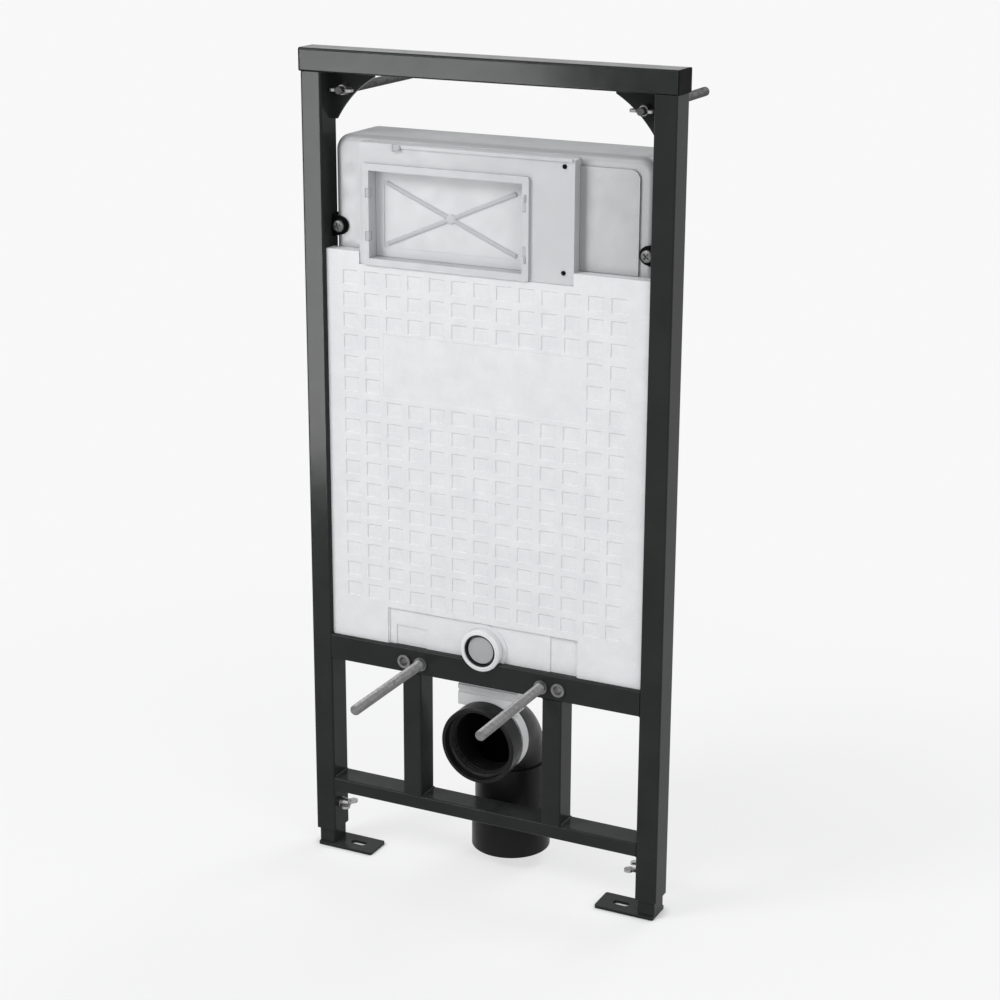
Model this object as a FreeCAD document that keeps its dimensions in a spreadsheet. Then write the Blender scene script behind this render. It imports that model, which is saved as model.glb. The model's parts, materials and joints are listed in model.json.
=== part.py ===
import FreeCAD, Part
import math
import os
import Sketcher
from FreeCAD import Placement, Rotation, Vector

# Wall hung toilet frame: a steel frame on two telescopic legs that carries a concealed cistern,
# an insulation panel, the flush bend, the waste elbow and the two rods that hold the bowl.
# Millimetres, +Z up, +X to the right seen from the front, +Y towards the wall.
# The origin is on the floor, under the axis of the left post.

doc = FreeCAD.newDocument("wall_hung_toilet_frame")
sheet = doc.addObject("Spreadsheet::Sheet", "sizes")

SIZES = {
    # steel frame
    "frame_width": 520,
    "frame_height": 1120,
    "post_width": 30,
    "post_depth": 40,
    "post_foot": 25,
    "tube_wall": 2.5,
    "tube_corner": 3,
    "bar_height": 30,
    "cap_thickness": 2,
    "cap_plug": 12,
    "cap_clearance": 0.3,
    # rails and uprights
    "bolt_height": 305,
    "rail_below_bolts": 17,
    "rail_above_bolts": 19,
    "rail_sheet": 3,
    "bottom_rail_height": 20,
    "bottom_rail_floor": 87,
    "upright_width": 28,
    "upright_depth": 38,
    "upright_spread": 210,
    # top corners
    "gusset_leg": 62,
    "gusset_lip": 6,
    "gusset_arc": 150,
    "gusset_sheet": 4,
    "gusset_setback": 30,
    "wall_rod_radius": 6,
    "wall_rod_core": 5.1,
    "wall_rod_inset": 21,
    "wall_rod_drop": 23,
    "wall_rod_front": 8,
    "wall_rod_back": 225,
    "rod_clearance": 0.2,
    "rod_shoulder_gap": 1,
    "rod_tip": 1,
    # legs and feet
    "leg_clearance": 0.5,
    "leg_length": 286,
    "foot_length": 85,
    "foot_depth": 42,
    "foot_sheet": 4,
    "foot_slot_width": 11,
    "foot_slot_length": 24,
    "foot_slot_inset": 54,
    "lock_height": 62,
    "lock_radius": 4,
    "lock_tip_gap": 0.3,
    # wings of the wing nuts and wing bolts
    "wing_hub_radius": 8,
    "wing_hub_top_radius": 6.4,
    "wing_hub_length": 12,
    "wing_reach": 17,
    "wing_foot": 2,
    "wing_lobe_height": 13,
    "wing_lobe_radius": 6,
    "wing_sheet": 3.5,
    # cistern
    "cistern_side_gap": 4,
    "cistern_drop": 80,
    "cistern_height": 450,
    "cistern_setback": 26,
    "cistern_depth": 90,
    "cistern_corner": 22,
    "cistern_edge": 10,
    "cistern_taper": 60,
    "cistern_taper_width": 40,
    "boss_margin": 21,
    "boss_drop": 16,
    "boss_foot_gap": 1,
    "boss_proud": 2.5,
    "boss_corner": 12,
    "channel_width": 26,
    "channel_height": 300,
    "channel_depth": 6,
    "channel_pitch": 110,
    "channel_drop": 70,
    "channel_corner": 8,
    "inlet_offset": 165,
    "inlet_drop": 60,
    "inlet_radius": 10.5,
    "inlet_length": 15,
    "inlet_flange_radius": 16,
    "inlet_flange": 5,
    "outlet_radius": 32,
    "outlet_length": 20,
    # access opening
    "access_left_margin": 46,
    "access_right_margin": 101,
    "access_drop": 6,
    "access_height": 158,
    "access_setback": 8,
    "access_sheet": 4,
    "access_corner": 3,
    "rim_left_margin": 7,
    "rim_right_margin": 61,
    "rim_drop": 26,
    "rim_width": 9,
    "rim_proud": 4,
    "rim_slot_tall": 12,
    "rim_slot_deep": 5,
    "rim_slot_spread": 56,
    "lip_margin": 62,
    "lip_tall": 4,
    "lip_proud": 2,
    "cover_setback": 24,
    "cover_gap": 0.4,
    "cover_margin": 12,
    "cover_margin_proud": 1,
    "cover_rib_width": 5,
    "cover_rib_proud": 1.5,
    "cover_rib_inset": 17,
    # cistern clips
    "clip_drop": 120,
    "clip_tall": 30,
    "clip_sheet": 3,
    "clip_reach": 24,
    "clip_screw_radius": 8,
    "clip_screw_head": 5,
    "clip_screw_edge": 1.5,
    "clip_collar_radius": 10.5,
    "clip_collar": 2,
    "seat_gap": 0.3,
    # insulation panel
    "panel_lap": 16,
    "panel_setback": 8,
    "panel_thickness": 17.5,
    "panel_side_gap": 0.5,
    "service_left": 142,
    "service_right": 98,
    "service_height": 52,
    "service_depth": 1.5,
    "knockout_depth": 3,
    "knockout_left": 132,
    "knockout_width": 46,
    "knockout_height": 28,
    "end_knockout_width": 39,
    "collar_radius": 35,
    # flush outlet
    "flush_rise": 35,
    "flush_pipe_radius": 22.5,
    "flush_pipe_wall": 2,
    "flush_bend_radius": 50,
    "flush_pipe_setback": 75,
    "ring_radius": 29,
    "ring_length": 26,
    "ring_proud": 3,
    "ring_clearance": 0.3,
    "ring_edge": 1.5,
    "plug_radius": 18.5,
    "plug_length": 9,
    "plug_flange": 3,
    # waste
    "waste_drop": 100,
    "mouth_radius": 54,
    "mouth_length": 22,
    "mouth_proud": 10,
    "socket_bore": 48.5,
    "elbow_radius": 47,
    "elbow_wall": 3.5,
    "elbow_bend": 56,
    "elbow_straight": 41,
    "elbow_drop": 88,
    "seal_bore": 45.2,
    "seal_length": 14,
    "seal_lip": 3,
    "mouth_edge": 2,
    "band_radius": 53,
    "band_width": 17,
    "band_setback": 24,
    "band_clearance": 0.3,
    "holder_width": 88,
    "holder_depth": 24,
    "holder_skirt": 40,
    "holder_groove": 5,
    "holder_groove_depth": 2,
    "holder_groove_pitch": 11,
    "reducer_bottom": 18,
    "reducer_spigot": 55,
    "reducer_spigot_top": 78,
    "reducer_neck": 50.5,
    "reducer_bore": 51.5,
    "reducer_crown": 4,
    "reducer_step": 5,
    "reducer_neck_height": 30,
    # bowl rods and threaded inserts
    "bowl_rod_radius": 7,
    "bowl_rod_core": 6.1,
    "bowl_rod_spacing": 180,
    "bowl_rod_reach": 181,
    "bowl_rod_tail": 30,
    "spare_spacing": 230,
    "insert_flange_radius": 9.5,
    "insert_flange": 3.5,
    "insert_radius": 8,
    "insert_length": 14,
}

for row, (name, size) in enumerate(SIZES.items(), 1):
    sheet.set(f"A{row}", name)
    sheet.set(f"B{row}", str(size))
    sheet.setAlias(f"B{row}", name)
doc.recompute()

# Places that several pieces share, as expressions over the sheet
POST_SPACING = "(sizes.frame_width - sizes.post_width)"
MIDDLE = f"({POST_SPACING} / 2)"
FRONT = "(-sizes.post_depth / 2)"
BAR_BOTTOM = "(sizes.frame_height - sizes.bar_height)"
CLEAR_WIDTH = "(sizes.frame_width - 2 * sizes.post_width)"
RAIL_TOP = "(sizes.bolt_height + sizes.rail_above_bolts)"
RAIL_BOTTOM = "(sizes.bolt_height - sizes.rail_below_bolts)"
BOTTOM_RAIL_TOP = "(sizes.bottom_rail_floor + sizes.bottom_rail_height)"
FLUSH_HEIGHT = "(sizes.bolt_height + sizes.flush_rise)"
WASTE_HEIGHT = "(sizes.bolt_height - sizes.waste_drop)"
ROD_HEIGHT = f"({BAR_BOTTOM} - sizes.wall_rod_drop)"
CISTERN_HALF = f"({CLEAR_WIDTH} / 2 - sizes.cistern_side_gap)"
CISTERN_TOP = f"({BAR_BOTTOM} - sizes.cistern_drop)"
CISTERN_BOTTOM = f"({CISTERN_TOP} - sizes.cistern_height)"
ACCESS_TOP = f"({CISTERN_TOP} - sizes.access_drop)"
ACCESS_BOTTOM = f"({ACCESS_TOP} - sizes.access_height)"
ACCESS_LEFT = f"({CISTERN_HALF} - sizes.access_left_margin)"
ACCESS_RIGHT = f"({CISTERN_HALF} - sizes.access_right_margin)"
RIM_LEFT = f"({ACCESS_LEFT} - sizes.rim_left_margin)"
RIM_RIGHT = f"({ACCESS_RIGHT} - sizes.rim_right_margin)"
PANEL_TOP = f"({ACCESS_BOTTOM} + sizes.panel_lap)"
LEG_WIDTH = "(sizes.post_width - 2 * sizes.tube_wall - 2 * sizes.leg_clearance)"
LEG_DEPTH = "(sizes.post_depth - 2 * sizes.tube_wall - 2 * sizes.leg_clearance)"

X_AXIS, Y_AXIS, Z_AXIS = Vector(1, 0, 0), Vector(0, 1, 0), Vector(0, 0, 1)
SIDES = (("left", -1), ("right", 1))
pieces = []


def value(expression):
    """The number that an expression over the sheet gives."""
    return float(sheet.evalExpression(expression))


def point(pair):
    """The point of a sketch that a pair of expressions gives."""
    return Vector(value(pair[0]), value(pair[1]), 0)


def post_axis(sign):
    """X of a post's axis: 0 on the left, the spacing of the posts on the right."""
    return "0" if sign < 0 else POST_SPACING


def place(piece, across, back, up):
    """Ties a piece's place to the sheet and counts it as a sub-part."""
    for axis, expression in (("x", across), ("y", back), ("z", up)):
        piece.setExpression(f"Placement.Base.{axis}", expression)
    piece.Label = piece.Name
    pieces.append(piece)
    return piece


def new_body(name, turn=None):
    """An empty body, turned about its own origin by the arguments of a rotation."""
    body = doc.addObject("PartDesign::Body", name)
    if turn:
        body.Placement = Placement(Vector(), Rotation(*turn))
    return body


def new_sketch(body, role, offset="0"):
    """A sketch on one of the body's own planes, moved along the plane's normal by offset."""
    sketch = body.newObject("Sketcher::SketchObject", f"{body.Name}_sketch")
    plane = [item for item in body.Origin.OriginFeatures if item.Role == role][0]
    sketch.AttachmentSupport = (plane, [""])
    sketch.MapMode = "FlatFace"
    if offset != "0":
        sketch.setExpression("AttachmentOffset.Base.z", offset)
    return sketch


def dimension(sketch, constraint, expression):
    """Adds a dimension and binds it to the sheet."""
    index = sketch.addConstraint(constraint)
    name = f"size_{index}"
    sketch.renameConstraint(index, name)
    sketch.setExpression(f"Constraints.{name}", expression)


def pin_point(sketch, geometry, point, across, up):
    """Holds a point of the sketch at a place given by two expressions."""
    for kind, axis, expression in (("DistanceX", -2, across), ("DistanceY", -1, up)):
        if expression == "0":
            sketch.addConstraint(Sketcher.Constraint("PointOnObject", geometry, point, axis))
        else:
            distance = Sketcher.Constraint(kind, -1, 1, geometry, point, value(expression))
            dimension(sketch, distance, expression)


def draw_outline(sketch, corners):
    """A closed outline of straight lines through corners, pairs of expressions."""
    points = [point(corner) for corner in corners]
    first = sketch.GeometryCount
    count = len(points)
    for i in range(count):
        sketch.addGeometry(Part.LineSegment(points[i], points[(i + 1) % count]), False)
    for i in range(count):
        joined = Sketcher.Constraint("Coincident", first + i, 2, first + (i + 1) % count, 1)
        sketch.addConstraint(joined)
    for i, (across, up) in enumerate(corners):
        pin_point(sketch, first + i, 1, across, up)


def draw_rectangle(sketch, left, right, bottom, top):
    draw_outline(sketch, [(left, bottom), (right, bottom), (right, top), (left, top)])


def draw_rounded(sketch, left, right, bottom, top, radius):
    """A rectangle whose four corners are arcs of one radius."""
    near_left, near_right = f"({left}) + {radius}", f"({right}) - {radius}"
    near_bottom, near_top = f"({bottom}) + {radius}", f"({top}) - {radius}"
    sides = [
        ((near_left, bottom), (near_right, bottom)),
        ((right, near_bottom), (right, near_top)),
        ((near_right, top), (near_left, top)),
        ((left, near_top), (left, near_bottom)),
    ]
    centres = [
        (near_right, near_bottom), (near_right, near_top), (near_left, near_top), (near_left, near_bottom)
    ]
    first = sketch.GeometryCount
    for start, end in sides:
        sketch.addGeometry(Part.LineSegment(point(start), point(end)), False)
    for i, centre in enumerate(centres):
        circle = Part.Circle(point(centre), Z_AXIS, value(radius))
        arc = Part.ArcOfCircle(circle, math.radians(90 * i - 90), math.radians(90 * i))
        corner = sketch.addGeometry(arc, False)
        sketch.addConstraint(Sketcher.Constraint("Coincident", first + i, 2, corner, 1))
        sketch.addConstraint(Sketcher.Constraint("Coincident", corner, 2, first + (i + 1) % 4, 1))
        dimension(sketch, Sketcher.Constraint("Radius", corner, value(radius)), radius)
    for i, (start, end) in enumerate(sides):
        pin_point(sketch, first + i, 1, *start)
        pin_point(sketch, first + i, 2, *end)


def draw_centred(sketch, width, height):
    draw_rectangle(sketch, f"-({width}) / 2", f"({width}) / 2", f"-({height}) / 2", f"({height}) / 2")


def draw_circle(sketch, across, up, radius):
    circle = Part.Circle(point((across, up)), Z_AXIS, value(radius))
    index = sketch.addGeometry(circle, False)
    pin_point(sketch, index, 3, across, up)
    dimension(sketch, Sketcher.Constraint("Radius", index, value(radius)), radius)


def pad(body, sketch, length, both_ways=False, reverse=False):
    feature = body.newObject("PartDesign::Pad", f"{body.Name}_pad")
    feature.Profile = sketch
    feature.setExpression("Length", length)
    feature.SideType = "Symmetric" if both_ways else "One side"
    feature.Reversed = reverse
    return feature


def pocket(body, sketch, length=None, reverse=False):
    """Cuts to a length, or right through both ways where no length is given."""
    feature = body.newObject("PartDesign::Pocket", f"{body.Name}_pocket")
    feature.Profile = sketch
    feature.Reversed = reverse
    if length is None:
        feature.Type = "ThroughAll"
        feature.SideType = "Symmetric"
    else:
        feature.setExpression("Length", length)
    return feature


def revolve(body, sketch, axis):
    feature = body.newObject("PartDesign::Revolution", f"{body.Name}_revolution")
    feature.Profile = sketch
    feature.ReferenceAxis = (sketch, [axis])
    feature.Angle = 360
    return feature


def straight_edges(feature, direction, wanted=None):
    """Names of a feature's straight edges along a direction, all or those that wanted accepts."""
    doc.recompute()
    names = []
    for number, edge in enumerate(feature.Shape.Edges, 1):
        if edge.Curve.TypeId != "Part::GeomLine":
            continue
        if edge.tangentAt(edge.FirstParameter).cross(direction).Length > 1e-6:
            continue
        if wanted is None or wanted(edge.CenterOfMass):
            names.append(f"Edge{number}")
    return names


def rim_edges(feature):
    """Names of a feature's edges that lie flat across Y."""
    doc.recompute()
    edges = enumerate(feature.Shape.Edges, 1)
    return [f"Edge{number}" for number, edge in edges if edge.BoundBox.YLength < 1e-6]


def fillet(body, feature, edges, radius):
    rounded = body.newObject("PartDesign::Fillet", f"{body.Name}_fillet")
    rounded.Base = (feature, edges)
    rounded.setExpression("Radius", radius)
    return rounded


PLANE_NORMAL = {"XY_Plane": Z_AXIS, "XZ_Plane": Y_AXIS, "YZ_Plane": X_AXIS}


def make_tube(name, role, width, height, length, wall, both_ways=False):
    """A rectangular steel tube with rolled corners along the normal of a plane."""
    body = new_body(name)
    outside = new_sketch(body, role)
    draw_centred(outside, width, height)
    blank = pad(body, outside, length, both_ways)
    fillet(body, blank, straight_edges(blank, PLANE_NORMAL[role]), "sizes.tube_corner")
    inside = new_sketch(body, role)
    draw_centred(inside, f"{width} - 2 * {wall}", f"{height} - 2 * {wall}")
    pocket(body, inside)
    return body


# Posts, with a hole for the lock bolt through the inner wall
for side, sign in SIDES:
    length = f"{BAR_BOTTOM} - sizes.post_foot"
    post = make_tube(
        f"{side}_post", "XY_Plane", "sizes.post_width", "sizes.post_depth", length, "sizes.tube_wall"
    )
    lock_hole = new_sketch(post, "YZ_Plane")
    hole_radius = "sizes.lock_radius + sizes.rod_clearance"
    draw_circle(lock_hole, "0", "sizes.lock_height - sizes.post_foot", hole_radius)
    pocket(post, lock_hole, "sizes.post_width", reverse=sign < 0)
    place(post, post_axis(sign), "0", "sizes.post_foot")

# Top bar over both posts, closed by a plastic cap at each end
top_bar = make_tube(
    "top_bar", "YZ_Plane", "sizes.post_depth", "sizes.bar_height", "sizes.frame_width",
    "sizes.tube_wall", both_ways=True,
)
place(top_bar, MIDDLE, "0", f"{BAR_BOTTOM} + sizes.bar_height / 2")
for side, sign in SIDES:
    cap = new_body(f"top_bar_end_cap_{side}")
    face = new_sketch(cap, "YZ_Plane")
    draw_centred(face, "sizes.post_depth", "sizes.bar_height")
    plate = pad(cap, face, "sizes.cap_thickness", reverse=sign < 0)
    fillet(cap, plate, straight_edges(plate, X_AXIS), "sizes.tube_corner")
    plug = new_sketch(cap, "YZ_Plane")
    room = "2 * sizes.tube_wall - 2 * sizes.cap_clearance"
    draw_centred(plug, f"sizes.post_depth - {room}", f"sizes.bar_height - {room}")
    pad(cap, plug, "sizes.cap_plug", reverse=sign > 0)
    end = f"{MIDDLE} + {sign} * sizes.frame_width / 2"
    place(cap, end, "0", f"{BAR_BOTTOM} + sizes.bar_height / 2")

# Bolt rail: a channel open to the wall, notched for the flush outlet and bored for the rods
rail = new_body("bolt_rail")
section = new_sketch(rail, "YZ_Plane")
low, high, sheet_size = "-sizes.rail_below_bolts", "sizes.rail_above_bolts", "sizes.rail_sheet"
draw_outline(section, [
    ("0", low),
    ("sizes.post_depth", low),
    ("sizes.post_depth", f"{low} + {sheet_size}"),
    (sheet_size, f"{low} + {sheet_size}"),
    (sheet_size, f"{high} - {sheet_size}"),
    ("sizes.post_depth", f"{high} - {sheet_size}"),
    ("sizes.post_depth", high),
    ("0", high),
])
channel = pad(rail, section, CLEAR_WIDTH, both_ways=True)
front_bends = straight_edges(channel, X_AXIS, lambda point: abs(point.y) < 1e-6)
fillet(rail, channel, front_bends, "sizes.tube_corner")
notch = new_sketch(rail, "XZ_Plane")
draw_circle(notch, "0", "sizes.flush_rise", "sizes.ring_radius + sizes.ring_clearance")
pocket(rail, notch)
bores = new_sketch(rail, "XZ_Plane")
for spacing in ("sizes.bowl_rod_spacing", "sizes.spare_spacing"):
    for sign in (-1, 1):
        draw_circle(bores, f"{sign} * {spacing} / 2", "0", "sizes.insert_radius + sizes.rod_clearance")
pocket(rail, bores)
place(rail, MIDDLE, FRONT, "sizes.bolt_height")

# Bottom rail and the two uprights between the rails
bottom_rail = make_tube(
    "bottom_rail", "YZ_Plane", "sizes.post_depth", "sizes.bottom_rail_height", CLEAR_WIDTH,
    "sizes.tube_wall", both_ways=True,
)
place(bottom_rail, MIDDLE, "0", "sizes.bottom_rail_floor + sizes.bottom_rail_height / 2")
for side, sign in SIDES:
    upright = make_tube(
        f"{side}_upright", "XY_Plane", "sizes.upright_width", "sizes.upright_depth",
        f"{RAIL_BOTTOM} - {BOTTOM_RAIL_TOP}", "sizes.tube_wall",
    )
    across = f"{MIDDLE} + {sign} * sizes.upright_spread / 2"
    place(upright, across, f"{FRONT} + sizes.upright_depth / 2", BOTTOM_RAIL_TOP)


def draw_gusset(sketch, sign):
    """Corner plate whose long edge is a shallow hollow arc between two short lips."""
    leg, lip = "sizes.gusset_leg", "sizes.gusset_lip"
    corners = [
        ("0", f"-{leg}"),
        ("0", "0"),
        (f"{-sign} * {leg}", "0"),
        (f"{-sign} * {leg}", f"-{lip}"),
        (f"{-sign} * {lip}", f"-{leg}"),
    ]
    points = [point(corner) for corner in corners]
    chord = points[4] - points[3]
    radius = value("sizes.gusset_arc")
    hollow = radius - (radius ** 2 - chord.Length ** 2 / 4) ** 0.5
    inward = (points[1] - (points[3] + points[4]) / 2).normalize()
    middle = (points[3] + points[4]) / 2 + inward * hollow
    edges = [
        Part.LineSegment(points[0], points[1]),
        Part.LineSegment(points[1], points[2]),
        Part.LineSegment(points[2], points[3]),
        Part.Arc(points[3], middle, points[4]),
        Part.LineSegment(points[4], points[0]),
    ]
    for edge in edges:
        sketch.addGeometry(edge, False)
    for i in (0, 1):
        sketch.addConstraint(Sketcher.Constraint("Coincident", i, 2, i + 1, 1))
    # the arc keeps its own start and end, which swap with the side
    arc_start = sketch.getPoint(3, 1)
    first, last = (1, 2) if (arc_start - points[3]).Length < 1e-6 else (2, 1)
    sketch.addConstraint(Sketcher.Constraint("Coincident", 2, 2, 3, first))
    sketch.addConstraint(Sketcher.Constraint("Coincident", 3, last, 4, 1))
    sketch.addConstraint(Sketcher.Constraint("Coincident", 4, 2, 0, 1))
    for geometry, corner in ((0, corners[0]), (1, corners[1]), (2, corners[2]), (4, corners[4])):
        pin_point(sketch, geometry, 1, *corner)
    pin_point(sketch, 2, 2, *corners[3])
    dimension(sketch, Sketcher.Constraint("Radius", 3, radius), "sizes.gusset_arc")


def add_wing(body, sign):
    """One wing: a web that flares out of the hub and a round lobe at its end."""
    reach, lobe = "sizes.wing_reach", "sizes.wing_lobe_radius"
    web = new_sketch(body, "XZ_Plane")
    draw_outline(web, [
        ("0", "sizes.wing_foot"),
        (f"{sign} * sizes.wing_hub_radius", "sizes.wing_foot"),
        (f"{sign} * {reach}", "sizes.wing_lobe_height"),
        (f"{sign} * ({reach} - {lobe})", f"sizes.wing_lobe_height + {lobe}"),
        ("0", "sizes.wing_hub_length"),
    ])
    pad(body, web, "sizes.wing_sheet", both_ways=True)
    tip = new_sketch(body, "XZ_Plane")
    draw_circle(tip, f"{sign} * ({reach} - {lobe})", "sizes.wing_lobe_height", lobe)
    pad(body, tip, "sizes.wing_sheet", both_ways=True)


def make_winged(name, turn, shank_radius, shank_length, bore_radius=None):
    """Hub with two wings along its own +Z, on a shank below it or with a bore through it."""
    body = new_body(name, turn)
    hub_profile = new_sketch(body, "XZ_Plane")
    draw_outline(hub_profile, [
        ("0", "0"),
        ("sizes.wing_hub_radius", "0"),
        ("sizes.wing_hub_top_radius", "sizes.wing_hub_length"),
        ("0", "sizes.wing_hub_length"),
    ])
    revolve(body, hub_profile, "V_Axis")
    for sign in (-1, 1):
        add_wing(body, sign)
    if bore_radius:
        bore = new_sketch(body, "XY_Plane")
        draw_circle(bore, "0", "0", bore_radius)
        pocket(body, bore)
    else:
        shank = new_sketch(body, "XY_Plane")
        draw_circle(shank, "0", "0", shank_radius)
        pad(body, shank, shank_length, reverse=True)
    return body


def make_rod(name, turn, radius, core, neck, length):
    """Rod along its own +Z: a neck at the core of the thread, then the full thickness."""
    rod = new_body(name, turn)
    profile = new_sketch(rod, "XZ_Plane")
    draw_outline(profile, [
        ("0", "0"),
        (f"{core} - sizes.rod_tip", "0"),
        (core, "sizes.rod_tip"),
        (core, neck),
        (radius, neck),
        (radius, f"{length} - sizes.rod_tip"),
        (f"{radius} - sizes.rod_tip", length),
        ("0", length),
    ])
    revolve(rod, profile, "V_Axis")
    return rod


# Top corners: gusset, threaded wall rod through it, wing nut in front of it
TO_WALL = (X_AXIS, -90)
TO_FRONT = (X_AXIS, 90)
for side, sign in SIDES:
    inner_face = f"{post_axis(sign)} - {sign} * sizes.post_width / 2"
    gusset = new_body(f"{side}_gusset")
    plate = new_sketch(gusset, "XZ_Plane")
    draw_gusset(plate, sign)
    pad(gusset, plate, "sizes.gusset_sheet", reverse=True)
    hole = new_sketch(gusset, "XZ_Plane")
    hole_radius = "sizes.wall_rod_radius + sizes.rod_clearance"
    draw_circle(hole, f"{-sign} * sizes.wall_rod_inset", "-sizes.wall_rod_drop", hole_radius)
    pocket(gusset, hole)
    place(gusset, inner_face, f"{FRONT} + sizes.gusset_setback", BAR_BOTTOM)
    rod_axis = f"{inner_face} - {sign} * sizes.wall_rod_inset"
    gusset_back = "sizes.gusset_setback + sizes.gusset_sheet"
    rod = make_rod(
        f"{side}_wall_rod", TO_WALL, "sizes.wall_rod_radius", "sizes.wall_rod_core",
        f"{gusset_back} + sizes.rod_shoulder_gap - sizes.wall_rod_front",
        "sizes.wall_rod_back - sizes.wall_rod_front",
    )
    place(rod, rod_axis, f"{FRONT} + sizes.wall_rod_front", ROD_HEIGHT)
    nut = make_winged(
        f"{side}_wing_nut", TO_FRONT, None, None, "sizes.wall_rod_core + sizes.rod_clearance"
    )
    place(nut, rod_axis, f"{FRONT} + sizes.gusset_setback", ROD_HEIGHT)

# Telescopic legs, their foot plates and the wing bolts that lock them
for side, sign in SIDES:
    leg = make_tube(f"{side}_leg", "XY_Plane", LEG_WIDTH, LEG_DEPTH, "sizes.leg_length", "sizes.tube_wall")
    place(leg, post_axis(sign), "0", "sizes.foot_sheet")
    foot = new_body(f"{side}_foot_plate")
    outer = f"{sign} * {LEG_WIDTH} / 2"
    inner = f"{outer} - {sign} * sizes.foot_length"
    half_depth = "sizes.foot_depth / 2"
    plate = new_sketch(foot, "XY_Plane")
    edges = (inner, outer) if sign > 0 else (outer, inner)
    draw_rectangle(plate, *edges, f"-{half_depth}", half_depth)
    blank = pad(foot, plate, "sizes.foot_sheet")
    fillet(foot, blank, straight_edges(blank, Z_AXIS), "sizes.tube_corner")
    slot = new_sketch(foot, "XY_Plane")
    half_run = "(sizes.foot_slot_length - sizes.foot_slot_width) / 2"
    slot_middle = f"{outer} - {sign} * sizes.foot_slot_inset"
    draw_rectangle(
        slot, f"{slot_middle} - {half_run}", f"{slot_middle} + {half_run}",
        "-sizes.foot_slot_width / 2", "sizes.foot_slot_width / 2",
    )
    pocket(foot, slot)
    for end in (-1, 1):
        round_end = new_sketch(foot, "XY_Plane")
        draw_circle(round_end, f"{slot_middle} + {end} * {half_run}", "0", "sizes.foot_slot_width / 2")
        pocket(foot, round_end)
    place(foot, post_axis(sign), "0", "0")
    shank = "sizes.tube_wall + sizes.leg_clearance - sizes.lock_tip_gap"
    inward = (Y_AXIS, Z_AXIS * -sign, X_AXIS * -sign, "ZXY")
    lock = make_winged(f"{side}_leg_wing_bolt", inward, "sizes.lock_radius", shank)
    place(lock, f"{post_axis(sign)} - {sign} * sizes.post_width / 2", "0", "sizes.lock_height")

# Cistern: moulded tank with a tapered foot, a raised boss with one round corner between the
# access frame and the right edge, stiffening channels and the water inlet at the back, and the
# outlet under it
tank = new_body("cistern")
front_view = new_sketch(tank, "XZ_Plane")
narrow = f"({CISTERN_HALF} - sizes.cistern_taper_width)"
draw_outline(front_view, [
    (f"-{narrow}", "0"),
    (narrow, "0"),
    (CISTERN_HALF, "sizes.cistern_taper"),
    (CISTERN_HALF, "sizes.cistern_height"),
    (f"-{CISTERN_HALF}", "sizes.cistern_height"),
    (f"-{CISTERN_HALF}", "sizes.cistern_taper"),
])
moulding = pad(tank, front_view, "sizes.cistern_depth", reverse=True)
rounded_tank = fillet(tank, moulding, straight_edges(moulding, Y_AXIS), "sizes.cistern_corner")
fillet(tank, rounded_tank, rim_edges(rounded_tank), "sizes.cistern_edge")
boss = new_sketch(tank, "XZ_Plane")
boss_top = "sizes.cistern_height - sizes.boss_drop"
boss_foot = f"{PANEL_TOP} + sizes.boss_foot_gap - {CISTERN_BOTTOM}"
boss_right = f"{CISTERN_HALF} - sizes.boss_margin"
boss_left = f"{ACCESS_RIGHT} + sizes.seat_gap"
draw_rectangle(boss, boss_left, boss_right, boss_foot, boss_top)
raised = pad(tank, boss, "sizes.boss_proud")
outer_corner = Vector(value(boss_right), -value("sizes.boss_proud") / 2, value(boss_top))
corner_edge = straight_edges(raised, Y_AXIS, lambda middle: middle.isEqual(outer_corner, 1e-6))
fillet(tank, raised, corner_edge, "sizes.boss_corner")
for column in (-1, 0, 1):
    channel = new_sketch(tank, "XZ_Plane", "-sizes.cistern_depth")
    channel_x = f"{column} * sizes.channel_pitch"
    channel_top = "sizes.cistern_height - sizes.channel_drop"
    draw_rounded(
        channel, f"{channel_x} - sizes.channel_width / 2", f"{channel_x} + sizes.channel_width / 2",
        f"{channel_top} - sizes.channel_height", channel_top, "sizes.channel_corner",
    )
    pocket(tank, channel, "sizes.channel_depth", reverse=True)
for radius, length in (
    ("sizes.inlet_flange_radius", "sizes.inlet_flange"),
    ("sizes.inlet_radius", "sizes.inlet_length"),
):
    inlet = new_sketch(tank, "XZ_Plane", "-sizes.cistern_depth")
    draw_circle(inlet, "sizes.inlet_offset", "sizes.cistern_height - sizes.inlet_drop", radius)
    pad(tank, inlet, length, reverse=True)
outlet = new_sketch(tank, "XY_Plane")
draw_circle(outlet, "0", "sizes.flush_pipe_setback - sizes.cistern_setback", "sizes.outlet_radius")
pad(tank, outlet, "sizes.outlet_length", reverse=True)
place(tank, MIDDLE, f"{FRONT} + sizes.cistern_setback", CISTERN_BOTTOM)

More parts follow.
